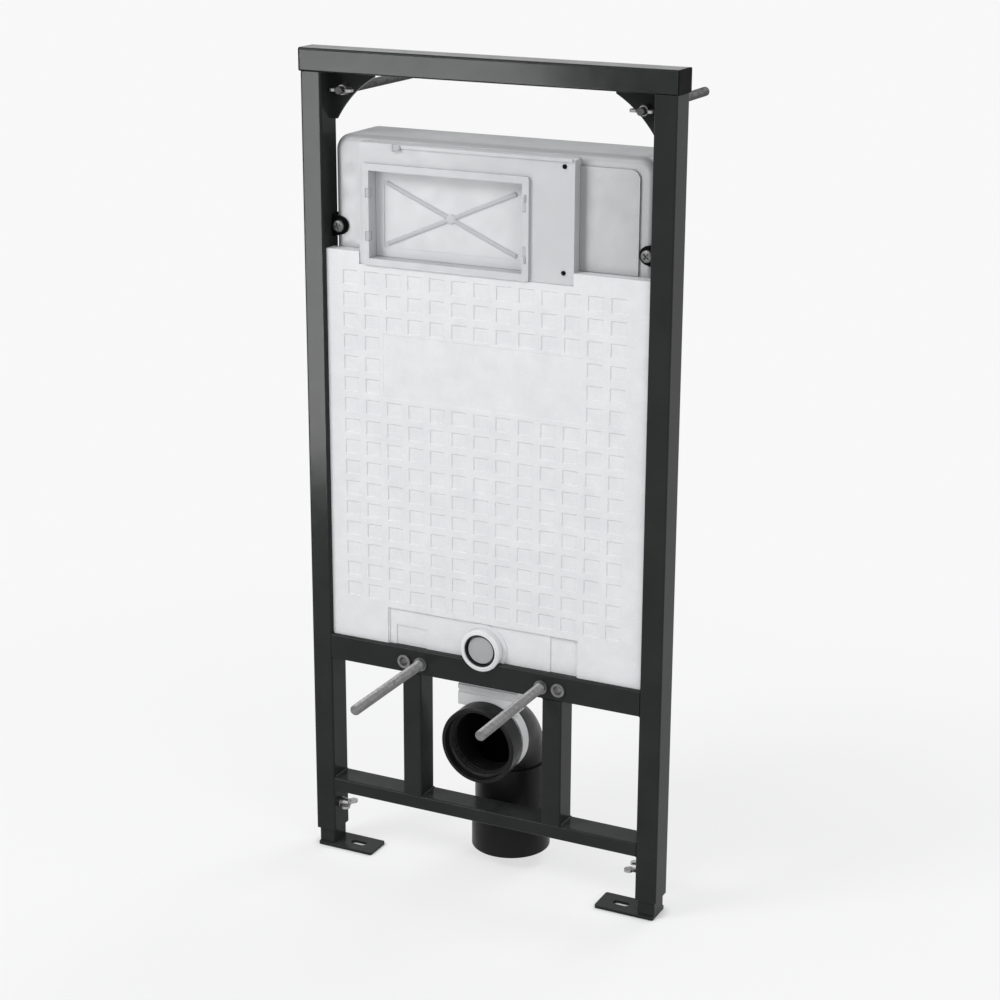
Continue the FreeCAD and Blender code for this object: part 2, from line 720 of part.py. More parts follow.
# Access frame in front of the tank: a plate on side walls, with a lip along its top and a raised
# rim round its opening, notched twice on each side for the push plate's catches
access = new_body("access_frame")
wall_depth = "(sizes.cistern_setback - sizes.access_setback)"
rim_high = "(sizes.access_height - sizes.rim_drop)"
block = new_sketch(access, "XZ_Plane")
draw_rounded(block, f"-{ACCESS_LEFT}", ACCESS_RIGHT, "0", "sizes.access_height", "sizes.access_corner")
pad(access, block, wall_depth, reverse=True)
lip = new_sketch(access, "XZ_Plane")
draw_rectangle(
    lip, f"-{ACCESS_LEFT} + sizes.lip_margin", f"{ACCESS_RIGHT} - sizes.access_corner",
    "sizes.access_height - sizes.lip_tall", "sizes.access_height",
)
pad(access, lip, "sizes.lip_proud")
rim = new_sketch(access, "XZ_Plane")
draw_rounded(rim, f"-{RIM_LEFT}", RIM_RIGHT, "0", rim_high, "sizes.access_corner")
pad(access, rim, "sizes.rim_proud")
opening = new_sketch(access, "XZ_Plane")
draw_rectangle(
    opening, f"-{RIM_LEFT} + sizes.rim_width", f"{RIM_RIGHT} - sizes.rim_width",
    "sizes.rim_width", f"{rim_high} - sizes.rim_width",
)
pocket(access, opening)
for edge, inward in ((f"-{RIM_LEFT}", 1), (RIM_RIGHT, -1)):
    for level in (-1, 1):
        catch = new_sketch(access, "XZ_Plane", "sizes.rim_proud")
        inner = f"{edge} + {inward} * sizes.rim_width"
        outer = f"{inner} - {inward} * sizes.rim_slot_deep"
        middle = f"{rim_high} / 2 + {level} * sizes.rim_slot_spread / 2"
        draw_rectangle(
            catch, *((outer, inner) if inward > 0 else (inner, outer)),
            f"{middle} - sizes.rim_slot_tall / 2", f"{middle} + sizes.rim_slot_tall / 2",
        )
        pocket(access, catch, "2 * sizes.rim_proud")
hollow_back = new_sketch(access, "XZ_Plane", f"-{wall_depth}")
draw_rectangle(
    hollow_back, f"{RIM_RIGHT} + sizes.access_sheet", f"{ACCESS_RIGHT} - sizes.access_sheet",
    "sizes.access_sheet", "sizes.access_height - sizes.access_sheet",
)
pocket(access, hollow_back, f"{wall_depth} - sizes.access_sheet", reverse=True)
place(access, MIDDLE, f"{FRONT} + sizes.access_setback", ACCESS_BOTTOM)

# Access cover: a plate deep in the opening with a raised margin and two crossed ribs
cover = new_body("access_cover")
cover_wide = f"({RIM_LEFT} + {RIM_RIGHT} - 2 * sizes.rim_width - 2 * sizes.cover_gap)"
cover_tall = f"({rim_high} - 2 * sizes.rim_width - 2 * sizes.cover_gap)"
sheet_plan = new_sketch(cover, "XZ_Plane")
draw_centred(sheet_plan, cover_wide, cover_tall)
pad(cover, sheet_plan, "sizes.cistern_setback - sizes.cover_setback", reverse=True)
margin = new_sketch(cover, "XZ_Plane")
draw_centred(margin, cover_wide, cover_tall)
draw_centred(margin, f"{cover_wide} - 2 * sizes.cover_margin", f"{cover_tall} - 2 * sizes.cover_margin")
pad(cover, margin, "sizes.cover_margin_proud")
for lean in (-1, 1):
    rib = new_sketch(cover, "XZ_Plane")
    end_x = f"({cover_wide} / 2 - sizes.cover_rib_inset)"
    end_z = f"({cover_tall} / 2 - sizes.cover_rib_inset)"
    thick = "sizes.cover_rib_width / 2"
    draw_outline(rib, [
        (f"-{end_x} - {thick}", f"{-lean} * {end_z}"),
        (f"-{end_x} + {thick}", f"{-lean} * {end_z}"),
        (f"{end_x} + {thick}", f"{lean} * {end_z}"),
        (f"{end_x} - {thick}", f"{lean} * {end_z}"),
    ])
    pad(cover, rib, "sizes.cover_rib_proud")
cover_x = f"{MIDDLE} + ({RIM_RIGHT} - {RIM_LEFT}) / 2"
place(cover, cover_x, f"{FRONT} + sizes.cover_setback", f"{ACCESS_BOTTOM} + {rim_high} / 2")

# Clips on the posts that hold the tank's sides, each with a round screw head
for side, sign in SIDES:
    clip = new_body(f"{side}_cistern_clip")
    plan = new_sketch(clip, "XY_Plane")
    lip_back = "sizes.cistern_setback - sizes.seat_gap"
    inward = f"{-sign} * sizes.clip_reach"
    draw_outline(plan, [
        ("0", f"{lip_back} - sizes.clip_sheet"),
        (inward, f"{lip_back} - sizes.clip_sheet"),
        (inward, lip_back),
        (f"{-sign} * sizes.clip_sheet", lip_back),
        (f"{-sign} * sizes.clip_sheet", "sizes.post_depth"),
        ("0", "sizes.post_depth"),
    ])
    pad(clip, plan, "sizes.clip_tall", both_ways=True)
    collar = new_sketch(clip, "XZ_Plane", f"-({lip_back} - sizes.clip_sheet)")
    draw_circle(collar, f"{-sign} * sizes.clip_reach / 2", "0", "sizes.clip_collar_radius")
    pad(clip, collar, "sizes.clip_collar")
    inner_face = f"{post_axis(sign)} - {sign} * sizes.post_width / 2"
    clip_z = f"{CISTERN_TOP} - sizes.clip_drop"
    place(clip, inner_face, FRONT, clip_z)
    screw = new_body(f"{side}_clip_screw", TO_FRONT)
    head = new_sketch(screw, "XZ_Plane")
    draw_outline(head, [
        ("0", "0"),
        ("sizes.clip_screw_radius", "0"),
        ("sizes.clip_screw_radius", "sizes.clip_screw_head - sizes.clip_screw_edge"),
        ("sizes.clip_screw_radius - sizes.clip_screw_edge", "sizes.clip_screw_head"),
        ("0", "sizes.clip_screw_head"),
    ])
    revolve(screw, head, "V_Axis")
    screw_x = f"{inner_face} - {sign} * sizes.clip_reach / 2"
    screw_y = f"{FRONT} + {lip_back} - sizes.clip_sheet - sizes.clip_collar"
    place(screw, screw_x, screw_y, clip_z)

# Insulation panel between the posts, on the bolt rail, cut round the access frame and outlet,
# with a shallow service field and two deeper knock-out fields along its foot
panel = new_body("insulation_panel")
board = new_sketch(panel, "XZ_Plane")
half_panel = f"({CLEAR_WIDTH} / 2 - sizes.panel_side_gap)"
draw_rectangle(board, f"-{half_panel}", half_panel, "0", f"{PANEL_TOP} - {RAIL_TOP}")
pad(panel, board, "sizes.panel_thickness", reverse=True)
access_cut = new_sketch(panel, "XZ_Plane")
draw_rectangle(
    access_cut, f"-{ACCESS_LEFT} - sizes.seat_gap", f"{ACCESS_RIGHT} + sizes.seat_gap",
    f"{ACCESS_BOTTOM} - sizes.seat_gap - {RAIL_TOP}", f"{ACCESS_TOP} - {RAIL_TOP}",
)
pocket(panel, access_cut)
fields = (
    ("-sizes.service_left", "sizes.service_right", "sizes.service_height", "sizes.service_depth"),
    (
        "-sizes.knockout_left", "-sizes.knockout_left + sizes.knockout_width",
        "sizes.knockout_height", "sizes.knockout_depth",
    ),
    (
        "sizes.service_right", "sizes.service_right + sizes.end_knockout_width",
        "sizes.service_height", "sizes.knockout_depth",
    ),
)
for left, right, height, depth in fields:
    field = new_sketch(panel, "XZ_Plane")
    draw_rectangle(field, left, right, "0", height)
    pocket(panel, field, depth)
collar = new_sketch(panel, "XZ_Plane")
draw_circle(collar, "0", f"{FLUSH_HEIGHT} - {RAIL_TOP}", "sizes.collar_radius")
pad(panel, collar, "sizes.service_depth", reverse=True)
foot_trim = new_sketch(panel, "XZ_Plane")
draw_rectangle(foot_trim, "-sizes.collar_radius", "sizes.collar_radius", "-sizes.collar_radius", "0")
pocket(panel, foot_trim)
outlet_cut = new_sketch(panel, "XZ_Plane")
draw_circle(outlet_cut, "0", f"{FLUSH_HEIGHT} - {RAIL_TOP}", "sizes.ring_radius + sizes.ring_clearance")
pocket(panel, outlet_cut)
place(panel, MIDDLE, f"{FRONT} + sizes.panel_setback", RAIL_TOP)

# Flush bend from the tank's outlet to the front, its ring in the rail's notch and the plug
bend = new_body("flush_bend")
path = new_sketch(bend, "YZ_Plane")
bend_end = "sizes.ring_length - sizes.ring_proud - sizes.ring_length / 2"
turn_y = "sizes.flush_pipe_setback - sizes.flush_bend_radius"
turn_z = "sizes.flush_bend_radius"
pipe_top = f"{CISTERN_BOTTOM} - sizes.outlet_length - {FLUSH_HEIGHT}"


def draw_elbow_path(sketch, start, corner_start, corner_end, centre, stop, radius):
    """A straight run, a quarter arc and a second straight run, tangent to each other."""
    outward = ((point(corner_start) + point(corner_end)) / 2 - point(centre)).normalize()
    middle = point(centre) + outward * value(radius)
    sketch.addGeometry(Part.LineSegment(point(start), point(corner_start)), False)
    sketch.addGeometry(Part.Arc(point(corner_start), middle, point(corner_end)), False)
    sketch.addGeometry(Part.LineSegment(point(corner_end), point(stop)), False)
    near = 1 if (sketch.getPoint(1, 1) - point(corner_start)).Length < 1e-6 else 2
    far = 3 - near
    sketch.addConstraint(Sketcher.Constraint("Coincident", 0, 2, 1, near))
    sketch.addConstraint(Sketcher.Constraint("Coincident", 1, far, 2, 1))
    pin_point(sketch, 0, 1, *start)
    pin_point(sketch, 0, 2, *corner_start)
    dimension(sketch, Sketcher.Constraint("Radius", 1, value(radius)), radius)
    pin_point(sketch, 2, 1, *corner_end)
    pin_point(sketch, 2, 2, *stop)


def pipe_along(body, path, profile):
    feature = body.newObject("PartDesign::AdditivePipe", f"{body.Name}_pipe")
    feature.Profile = profile
    feature.Spine = (path, ["Edge1", "Edge2", "Edge3"])
    return feature


draw_elbow_path(
    path, (bend_end, "0"), (turn_y, "0"), ("sizes.flush_pipe_setback", turn_z), (turn_y, turn_z),
    ("sizes.flush_pipe_setback", pipe_top), "sizes.flush_bend_radius",
)
section = new_sketch(bend, "XZ_Plane", f"-({bend_end})")
draw_circle(section, "0", "0", "sizes.flush_pipe_radius")
draw_circle(section, "0", "0", "sizes.flush_pipe_radius - sizes.flush_pipe_wall")
pipe_along(bend, path, section)
place(bend, MIDDLE, FRONT, FLUSH_HEIGHT)

ring = new_body("flush_ring")
ring_profile = new_sketch(ring, "YZ_Plane")
ring_bore = "sizes.flush_pipe_radius + sizes.ring_clearance"
draw_outline(ring_profile, [
    ("-sizes.ring_proud", ring_bore),
    ("-sizes.ring_proud", "sizes.ring_radius - sizes.ring_edge"),
    ("-sizes.ring_proud + sizes.ring_edge", "sizes.ring_radius"),
    ("sizes.ring_length - sizes.ring_proud", "sizes.ring_radius"),
    ("sizes.ring_length - sizes.ring_proud", ring_bore),
])
revolve(ring, ring_profile, "H_Axis")
place(ring, MIDDLE, FRONT, FLUSH_HEIGHT)

plug = new_body("flush_plug")
plug_profile = new_sketch(plug, "YZ_Plane")
plug_back = bend_end
draw_outline(plug_profile, [
    (f"{plug_back} - sizes.plug_length", "0"),
    (f"{plug_back} - sizes.plug_length", "sizes.plug_radius"),
    (f"{plug_back} - sizes.plug_flange", "sizes.plug_radius"),
    (f"{plug_back} - sizes.plug_flange", "sizes.flush_pipe_radius"),
    (plug_back, "sizes.flush_pipe_radius"),
    (plug_back, "0"),
])
revolve(plug, plug_profile, "H_Axis")
place(plug, MIDDLE, FRONT, FLUSH_HEIGHT)

# Waste elbow: a wide mouth that stands out to the front, a bend, and an end down in the reducer
elbow = new_body("waste_elbow")
elbow_path = new_sketch(elbow, "YZ_Plane")
pipe_start = "sizes.mouth_length"
bend_y = "sizes.elbow_straight"
down_y = "(sizes.elbow_straight + sizes.elbow_bend)"
draw_elbow_path(
    elbow_path, (pipe_start, "0"), (bend_y, "0"), (down_y, "-sizes.elbow_bend"),
    (bend_y, "-sizes.elbow_bend"), (down_y, "-sizes.elbow_drop"), "sizes.elbow_bend",
)
pipe_section = new_sketch(elbow, "XZ_Plane", f"-({pipe_start})")
elbow_bore = "(sizes.elbow_radius - sizes.elbow_wall)"
draw_circle(pipe_section, "0", "0", "sizes.elbow_radius")
draw_circle(pipe_section, "0", "0", elbow_bore)
pipe_along(elbow, elbow_path, pipe_section)
mouth = new_sketch(elbow, "YZ_Plane")
draw_outline(mouth, [
    ("-sizes.mouth_proud", "sizes.socket_bore"),
    ("-sizes.mouth_proud", "sizes.mouth_radius - sizes.mouth_edge"),
    ("sizes.mouth_edge - sizes.mouth_proud", "sizes.mouth_radius"),
    ("sizes.mouth_length - sizes.elbow_wall", "sizes.mouth_radius"),
    ("sizes.mouth_length", "sizes.mouth_radius - sizes.elbow_wall"),
    ("sizes.mouth_length", elbow_bore),
    ("sizes.mouth_length - sizes.elbow_wall", elbow_bore),
    ("sizes.mouth_length - sizes.elbow_wall", "sizes.socket_bore"),
])
revolve(elbow, mouth, "H_Axis")
place(elbow, MIDDLE, FRONT, WASTE_HEIGHT)

seal = new_body("waste_seal")
lip = new_sketch(seal, "YZ_Plane")
seal_back = "sizes.mouth_length - sizes.elbow_wall - sizes.seat_gap"
draw_outline(lip, [
    (f"{seal_back} - sizes.seal_length", "sizes.seal_bore"),
    (f"{seal_back} - sizes.seal_length - sizes.seal_lip", "sizes.socket_bore - sizes.seat_gap"),
    (seal_back, "sizes.socket_bore - sizes.seat_gap"),
    (seal_back, "sizes.seal_bore"),
])
revolve(seal, lip, "H_Axis")
place(seal, MIDDLE, FRONT, WASTE_HEIGHT)

# Clamp band round the elbow's neck, hung from a holder with a saddle under the bolt rail
band = new_body("waste_clamp")
strap = new_sketch(band, "YZ_Plane")
draw_rectangle(
    strap, "sizes.band_setback", "sizes.band_setback + sizes.band_width",
    "sizes.elbow_radius + sizes.band_clearance", "sizes.band_radius",
)
revolve(band, strap, "H_Axis")
place(band, MIDDLE, FRONT, WASTE_HEIGHT)

holder = new_body("waste_holder")
holder_front = new_sketch(holder, "XZ_Plane")
rise = f"{RAIL_BOTTOM} - {WASTE_HEIGHT}"
draw_rectangle(
    holder_front, "-sizes.holder_width / 2", "sizes.holder_width / 2",
    f"{rise} - sizes.holder_skirt", rise,
)
pad(holder, holder_front, "sizes.holder_depth", reverse=True)
for step in (1, 2):
    groove = new_sketch(holder, "XZ_Plane")
    groove_top = f"{rise} - {step} * sizes.holder_groove_pitch + sizes.holder_groove"
    draw_rectangle(
        groove, "-sizes.holder_width / 2", "sizes.holder_width / 2",
        f"{groove_top} - sizes.holder_groove", groove_top,
    )
    pocket(holder, groove, "sizes.holder_groove_depth")
saddle = new_sketch(holder, "XZ_Plane")
draw_circle(saddle, "0", "0", "sizes.band_radius + sizes.band_clearance")
pocket(holder, saddle)
holder_y = "sizes.band_setback + sizes.band_width / 2 - sizes.holder_depth / 2"
place(holder, MIDDLE, f"{FRONT} + {holder_y}", WASTE_HEIGHT)

# Reducer under the elbow: a neck round the elbow's end and a wider spigot for the drain
reducer = new_body("waste_reducer")
neck_inside = "sizes.elbow_radius + sizes.seat_gap"
elbow_end = f"{WASTE_HEIGHT} - sizes.elbow_drop"
profile = new_sketch(reducer, "XZ_Plane")
draw_outline(profile, [
    (neck_inside, elbow_end),
    (neck_inside, f"{elbow_end} + sizes.reducer_neck_height"),
    ("sizes.reducer_neck", f"{elbow_end} + sizes.reducer_neck_height"),
    ("sizes.reducer_neck", "sizes.reducer_spigot_top + sizes.reducer_step"),
    ("sizes.reducer_spigot", "sizes.reducer_spigot_top"),
    ("sizes.reducer_spigot", "sizes.reducer_bottom"),
    ("sizes.reducer_bore", "sizes.reducer_bottom"),
    ("sizes.reducer_bore", "sizes.reducer_spigot_top - sizes.reducer_crown"),
    (elbow_bore, "sizes.reducer_spigot_top"),
    (elbow_bore, elbow_end),
])
revolve(reducer, profile, "V_Axis")
place(reducer, MIDDLE, f"{FRONT} + {down_y}", "0")

# Bowl rods in threaded inserts, and the empty inserts of the wider spacing
insert_bore = "sizes.bowl_rod_core + sizes.rod_clearance"


def make_insert(name, across):
    insert = new_body(name)
    profile = new_sketch(insert, "YZ_Plane")
    draw_outline(profile, [
        ("-sizes.insert_flange", insert_bore),
        ("-sizes.insert_flange", "sizes.insert_flange_radius"),
        ("0", "sizes.insert_flange_radius"),
        ("0", "sizes.insert_radius"),
        ("sizes.insert_length", "sizes.insert_radius"),
        ("sizes.insert_length", insert_bore),
    ])
    revolve(insert, profile, "H_Axis")
    place(insert, across, FRONT, "sizes.bolt_height")


for side, sign in SIDES:
    rod_x = f"{MIDDLE} + {sign} * sizes.bowl_rod_spacing / 2"
    rod = make_rod(
        f"{side}_bowl_rod", TO_FRONT, "sizes.bowl_rod_radius", "sizes.bowl_rod_core",
        "sizes.bowl_rod_tail + sizes.insert_flange + sizes.rod_shoulder_gap",
        "sizes.bowl_rod_tail + sizes.bowl_rod_reach",
    )
    place(rod, rod_x, f"{FRONT} + sizes.bowl_rod_tail", "sizes.bolt_height")
    make_insert(f"{side}_rod_insert", rod_x)
    make_insert(f"{side}_spare_insert", f"{MIDDLE} + {sign} * sizes.spare_spacing / 2")

# Every object is sound before anything is written
doc.recompute()
for item in doc.Objects:
    if "Invalid" in item.State or "Error" in item.State:
        raise RuntimeError(f"{item.Name} failed: {item.State}")
for piece in pieces:
    if piece.Shape.isNull() or not piece.Shape.isValid():
        raise RuntimeError(f"{piece.Label} has no sound shape")

os.makedirs("parts", exist_ok=True)
for piece in pieces:
    piece.Shape.exportStep(f"parts/{piece.Label}.step")
print(f"{len(pieces)} pieces written")
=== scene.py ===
"""Looks of the wall hung toilet frame: finishes, small detail, studio and camera."""

import json
import math

import bmesh
import bpy
from mathutils import Matrix, Vector


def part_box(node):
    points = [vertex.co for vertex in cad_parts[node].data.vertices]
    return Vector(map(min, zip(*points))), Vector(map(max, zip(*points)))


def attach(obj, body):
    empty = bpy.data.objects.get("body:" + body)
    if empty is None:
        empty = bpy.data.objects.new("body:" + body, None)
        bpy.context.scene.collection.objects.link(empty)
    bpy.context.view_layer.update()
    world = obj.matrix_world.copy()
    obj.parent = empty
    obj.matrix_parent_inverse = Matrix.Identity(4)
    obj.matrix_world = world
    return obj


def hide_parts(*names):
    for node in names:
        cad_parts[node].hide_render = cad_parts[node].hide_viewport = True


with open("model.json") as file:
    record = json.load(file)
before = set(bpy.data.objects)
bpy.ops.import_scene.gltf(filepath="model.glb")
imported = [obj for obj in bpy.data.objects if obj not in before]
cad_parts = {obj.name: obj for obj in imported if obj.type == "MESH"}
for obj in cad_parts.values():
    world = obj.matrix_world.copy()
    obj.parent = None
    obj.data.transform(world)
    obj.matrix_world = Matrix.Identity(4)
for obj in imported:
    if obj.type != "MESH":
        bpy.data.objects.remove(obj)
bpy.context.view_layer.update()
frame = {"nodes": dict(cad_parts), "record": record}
MM = 0.001
SIDES = ("left", "right")


# Node helpers, shared by the finishes and the studio
def add_node(tree, kind, **settings):
    node = tree.nodes.new("ShaderNode" + kind)
    for key, setting in settings.items():
        setattr(node, key, setting)
    return node


def set_inputs(node, **settings):
    """Sets a node's sockets; an underscore in a name stands for a blank."""
    for socket, setting in settings.items():
        node.inputs[socket.replace("_", " ")].default_value = setting


def multiplied(tree, first, second):
    node = add_node(tree, "Math", operation="MULTIPLY")
    tree.links.new(first, node.inputs[0])
    tree.links.new(second, node.inputs[1])
    return node.outputs["Value"]


class Surface:
    """A procedural material, with its textures laid out in the frame's own metres."""

    def __init__(self, name, **uniform):
        self.material = bpy.data.materials.new(name)
        self.material.use_nodes = True
        self.tree = self.material.node_tree
        self.shader = self.tree.nodes["Principled BSDF"]
        set_inputs(self.shader, **uniform)
        self.place = self.add("TexCoord").outputs["Object"]
        self.normal = None

    def add(self, kind, **settings):
        return add_node(self.tree, kind, **settings)

    def join(self, source, target):
        self.tree.links.new(source, target)

    def stretched(self, scale):
        """Coordinates scaled differently along each axis, for flow marks."""
        node = self.add("Mapping")
        set_inputs(node, Scale=scale)
        self.join(self.place, node.inputs["Vector"])
        return node.outputs["Vector"]

    def noise(self, scale, detail=3.0, place=None):
        node = self.add("TexNoise")
        set_inputs(node, Scale=scale, Detail=detail)
        self.join(place or self.place, node.inputs["Vector"])
        return node.outputs["Fac"]

    def cells(self, scale, feature):
        node = self.add("TexVoronoi", feature=feature)
        set_inputs(node, Scale=scale)
        self.join(self.place, node.inputs["Vector"])
        return node.outputs["Distance"]

    def spread(self, source, low, high, start=0.3, end=0.7):
        """The part of a texture between start and end, mapped to low and high."""
        node = self.add("MapRange")
        set_inputs(node, From_Min=start, From_Max=end, To_Min=low, To_Max=high)
        self.join(source, node.inputs["Value"])
        return node.outputs["Result"]

    def mixed(self, factor, first, second):
        """Two colours mixed by a factor; each is a colour or another mix."""
        node = self.add("Mix", data_type="RGBA")
        first_colour, second_colour, mixed_colour = node.inputs[6], node.inputs[7], node.outputs[2]
        self.join(factor, node.inputs["Factor"])
        for socket, colour in ((first_colour, first), (second_colour, second)):
            if isinstance(colour, tuple):
                socket.default_value = (*colour, 1)
            else:
                self.join(colour, socket)
        return mixed_colour

    def edges(self, radius, reach=0.25):
        """One on corners narrower than the radius, nought on open faces."""
        soft = self.add("Bevel", samples=4)
        set_inputs(soft, Radius=radius)
        flat = self.add("NewGeometry")
        likeness = self.add("VectorMath", operation="DOT_PRODUCT")
        self.join(soft.outputs["Normal"], likeness.inputs[0])
        self.join(flat.outputs["Normal"], likeness.inputs[1])
        return self.spread(likeness.outputs["Value"], 0.0, 1.0, 1.0, 1.0 - reach)

    def upward(self):
        """One on faces that look up, where dust settles."""
        turned = self.add("NewGeometry")
        split = self.add("SeparateXYZ")
        self.join(turned.outputs["Normal"], split.inputs["Vector"])
        return self.spread(split.outputs["Z"], 0.0, 1.0, 0.6, 1.0)

    def dusted(self, colour, dust_colour, scale, most):
        """A colour under patches of dust on the faces that look up."""
        patches = self.spread(self.noise(scale, 5), 0.0, most)
        return self.mixed(multiplied(self.tree, self.upward(), patches), colour, dust_colour)

    def bump(self, height, distance, strength):
        node = self.add("Bump")
        set_inputs(node, Distance=distance, Strength=strength)
        self.join(height, node.inputs["Height"])
        if self.normal:
            self.join(self.normal, node.inputs["Normal"])
        self.normal = node.outputs["Normal"]

    def done(self, colour, roughness):
        self.join(colour, self.shader.inputs["Base Color"])
        self.join(roughness, self.shader.inputs["Roughness"])
        self.join(self.normal, self.shader.inputs["Normal"])
        return self.material


def powder_coat():
    """Charcoal powder coat: orange peel, a fine grain, paler along the edges, partly as wear and partly
    as a painted edge highlight, and under dust.
    """
    charcoal = (0.021, 0.0225, 0.022)
    paler = (0.027, 0.0285, 0.028)
    wear_and_edge_highlight = (0.045, 0.048, 0.047)
    coat = Surface("powder_coat", Specular_IOR_Level=0.06)
    colour = coat.mixed(coat.spread(coat.noise(14), 0, 1), charcoal, paler)
    # paler edges: partly wear, partly a painted highlight along the edges
    colour = coat.mixed(coat.edges(1.2 * MM), colour, wear_and_edge_highlight)
    colour = coat.dusted(colour, (0.3, 0.3, 0.3), scale=60, most=0.03)
    coat.bump(coat.noise(420, 2), 0.08 * MM, 0.4)
    coat.bump(coat.noise(1900, 2), 0.03 * MM, 0.5)
    return coat.done(colour, coat.spread(coat.noise(45, 4), 0.14, 0.21))


def zinc(name, dark, light, roughness):
    """Dull zinc plate: spangle patches between two greys and small dark stains."""
    stain = (0.65 * dark, 0.64 * dark, 0.6 * dark)
    plate = Surface(name, Metallic=1.0)
    colour = plate.mixed(plate.spread(plate.noise(170, 4), 0, 1), (dark,) * 3, (light,) * 3)
    colour = plate.mixed(plate.spread(plate.noise(90, 6), 0.0, 0.5, 0.58, 0.75), colour, stain)
    plate.bump(plate.noise(900, 3), 0.05 * MM, 0.6)
    return plate.done(colour, plate.spread(plate.noise(260, 3), *roughness))


def black_plastic(name, colour, gloss, roughness, grain):
    """Black moulded plastic: spark-eroded grain, paler edges that are partly scuffs and partly a painted
    edge highlight, and a little dust.
    """
    paler = tuple(1.6 * part for part in colour)
    scuff_and_edge_highlight = (0.02, 0.02, 0.0205)
    mould = Surface(name, Specular_IOR_Level=gloss)
    tint = mould.mixed(mould.spread(mould.noise(30), 0, 1), colour, paler)
    # paler edges: partly scuffs, partly a painted highlight along the edges
    tint = mould.mixed(mould.edges(0.9 * MM), tint, scuff_and_edge_highlight)
    tint = mould.dusted(tint, (0.25, 0.25, 0.25), scale=75, most=0.04)
    mould.bump(mould.cells(900, "SMOOTH_F1"), grain, 0.5)
    return mould.done(tint, mould.spread(mould.noise(70, 4), *roughness))


def pale_plastic(name, colour, shade, gloss, roughness, waves, grain):
    """White or grey moulded plastic: faint flow marks, long sink waves, fine grain."""
    mould = Surface(name, Specular_IOR_Level=gloss)
    tint = mould.mixed(mould.spread(mould.noise(9, 4), 0, 1), colour, shade)
    flow = mould.noise(16, 3, mould.stretched((1.0, 1.0, 0.25)))
    tint = mould.mixed(mould.spread(flow, 0.0, 0.35, 0.5, 0.8), tint, shade)
    mould.bump(mould.noise(7, 1), waves, 0.6)
    mould.bump(mould.noise(1500, 2), grain, 0.5)
    return mould.done(tint, mould.spread(mould.noise(50, 4), *roughness))


def bead_foam():
    """White bead foam: pressed beads with faint dark seams, and painted shade in the open pits between
    them.
    """
    white = (0.72, 0.73, 0.74)
    paler = (0.78, 0.785, 0.79)
    seam = (0.62, 0.635, 0.65)
    pit_shade = (0.6, 0.61, 0.62)
    foam = Surface("bead_foam", Specular_IOR_Level=0.25, Sheen_Weight=0.05)
    seams = foam.cells(260, "DISTANCE_TO_EDGE")
    colour = foam.mixed(foam.spread(foam.noise(40, 4), 0, 1), white, paler)
    colour = foam.mixed(foam.spread(seams, 0.22, 0.0, 0.0, 0.09), colour, seam)
    # painted shade: darker patches where the open pits between the beads lie in shade
    colour = foam.mixed(foam.spread(foam.noise(420, 2), 0.0, 0.35, 0.66, 0.8), colour, pit_shade)
    foam.bump(foam.spread(seams, 0, 1, 0.0, 0.2), 0.22 * MM, 0.55)
    foam.bump(foam.noise(130, 3), 0.3 * MM, 0.35)
    return foam.done(colour, foam.spread(foam.noise(120, 3), 0.72, 0.9))


def rubber():
    """Dull black rubber with talc left in its pores."""
    black = (0.009, 0.009, 0.009)
    chalky = (0.026, 0.026, 0.026)
    seal = Surface("seal_rubber", Specular_IOR_Level=0.2)
    colour = seal.mixed(seal.spread(seal.noise(180, 5), 0, 1, 0.45, 0.8), black, chalky)
    seal.bump(seal.noise(1300, 2), 0.05 * MM, 0.6)
    return seal.done(colour, seal.spread(seal.noise(60), 0.5, 0.7))


FINISHES = {
    "powder_coated_steel": powder_coat(),
    "zinc_steel": zinc("zinc_plate", dark=0.3, light=0.44, roughness=(0.36, 0.5)),
    "black_plastic": black_plastic(
        "black_plastic", (0.003, 0.003, 0.0032),
        gloss=0.03, roughness=(0.5, 0.66), grain=0.06 * MM),
    "waste_plastic": black_plastic(
        "waste_plastic", (0.007, 0.007, 0.0075),
        gloss=0.13, roughness=(0.3, 0.42), grain=0.02 * MM),
    "white_plastic": pale_plastic(
        "white_plastic", (0.78, 0.785, 0.79), (0.72, 0.725, 0.73),
        gloss=0.4, roughness=(0.32, 0.44), waves=1 * MM, grain=0.02 * MM),
    "grey_plastic": pale_plastic(
        "grey_plastic", (0.42, 0.425, 0.43), (0.36, 0.365, 0.37),
        gloss=0.3, roughness=(0.4, 0.52), waves=1 * MM, grain=0.03 * MM),
    "cistern_plastic": pale_plastic(
        "cistern_plastic", (0.35, 0.356, 0.362), (0.315, 0.321, 0.327),
        gloss=0.7, roughness=(0.42, 0.54), waves=2 * MM, grain=0.04 * MM),
    "access_plastic": pale_plastic(
        "access_plastic", (0.51, 0.52, 0.53), (0.47, 0.48, 0.49),
        gloss=0.3, roughness=(0.36, 0.48), waves=1.5 * MM, grain=0.02 * MM),
    "polystyrene": bead_foam(),
    "rubber": rubber(),
}
DULL_ZINC = zinc("dull_zinc", dark=0.17, light=0.25, roughness=(0.44, 0.58))
DARK_ZINC = zinc("dark_zinc", dark=0.07, light=0.12, roughness=(0.44, 0.58))
# A lighter copy of the access frame's plastic for the cover and its boss: painted light that keeps the
# recessed cover evenly bright
LIT_COVER_PLASTIC = pale_plastic(
    "lit_cover_plastic", (0.58, 0.59, 0.6), (0.54, 0.55, 0.56),
    gloss=0.3, roughness=(0.36, 0.48), waves=1.5 * MM, grain=0.02 * MM)

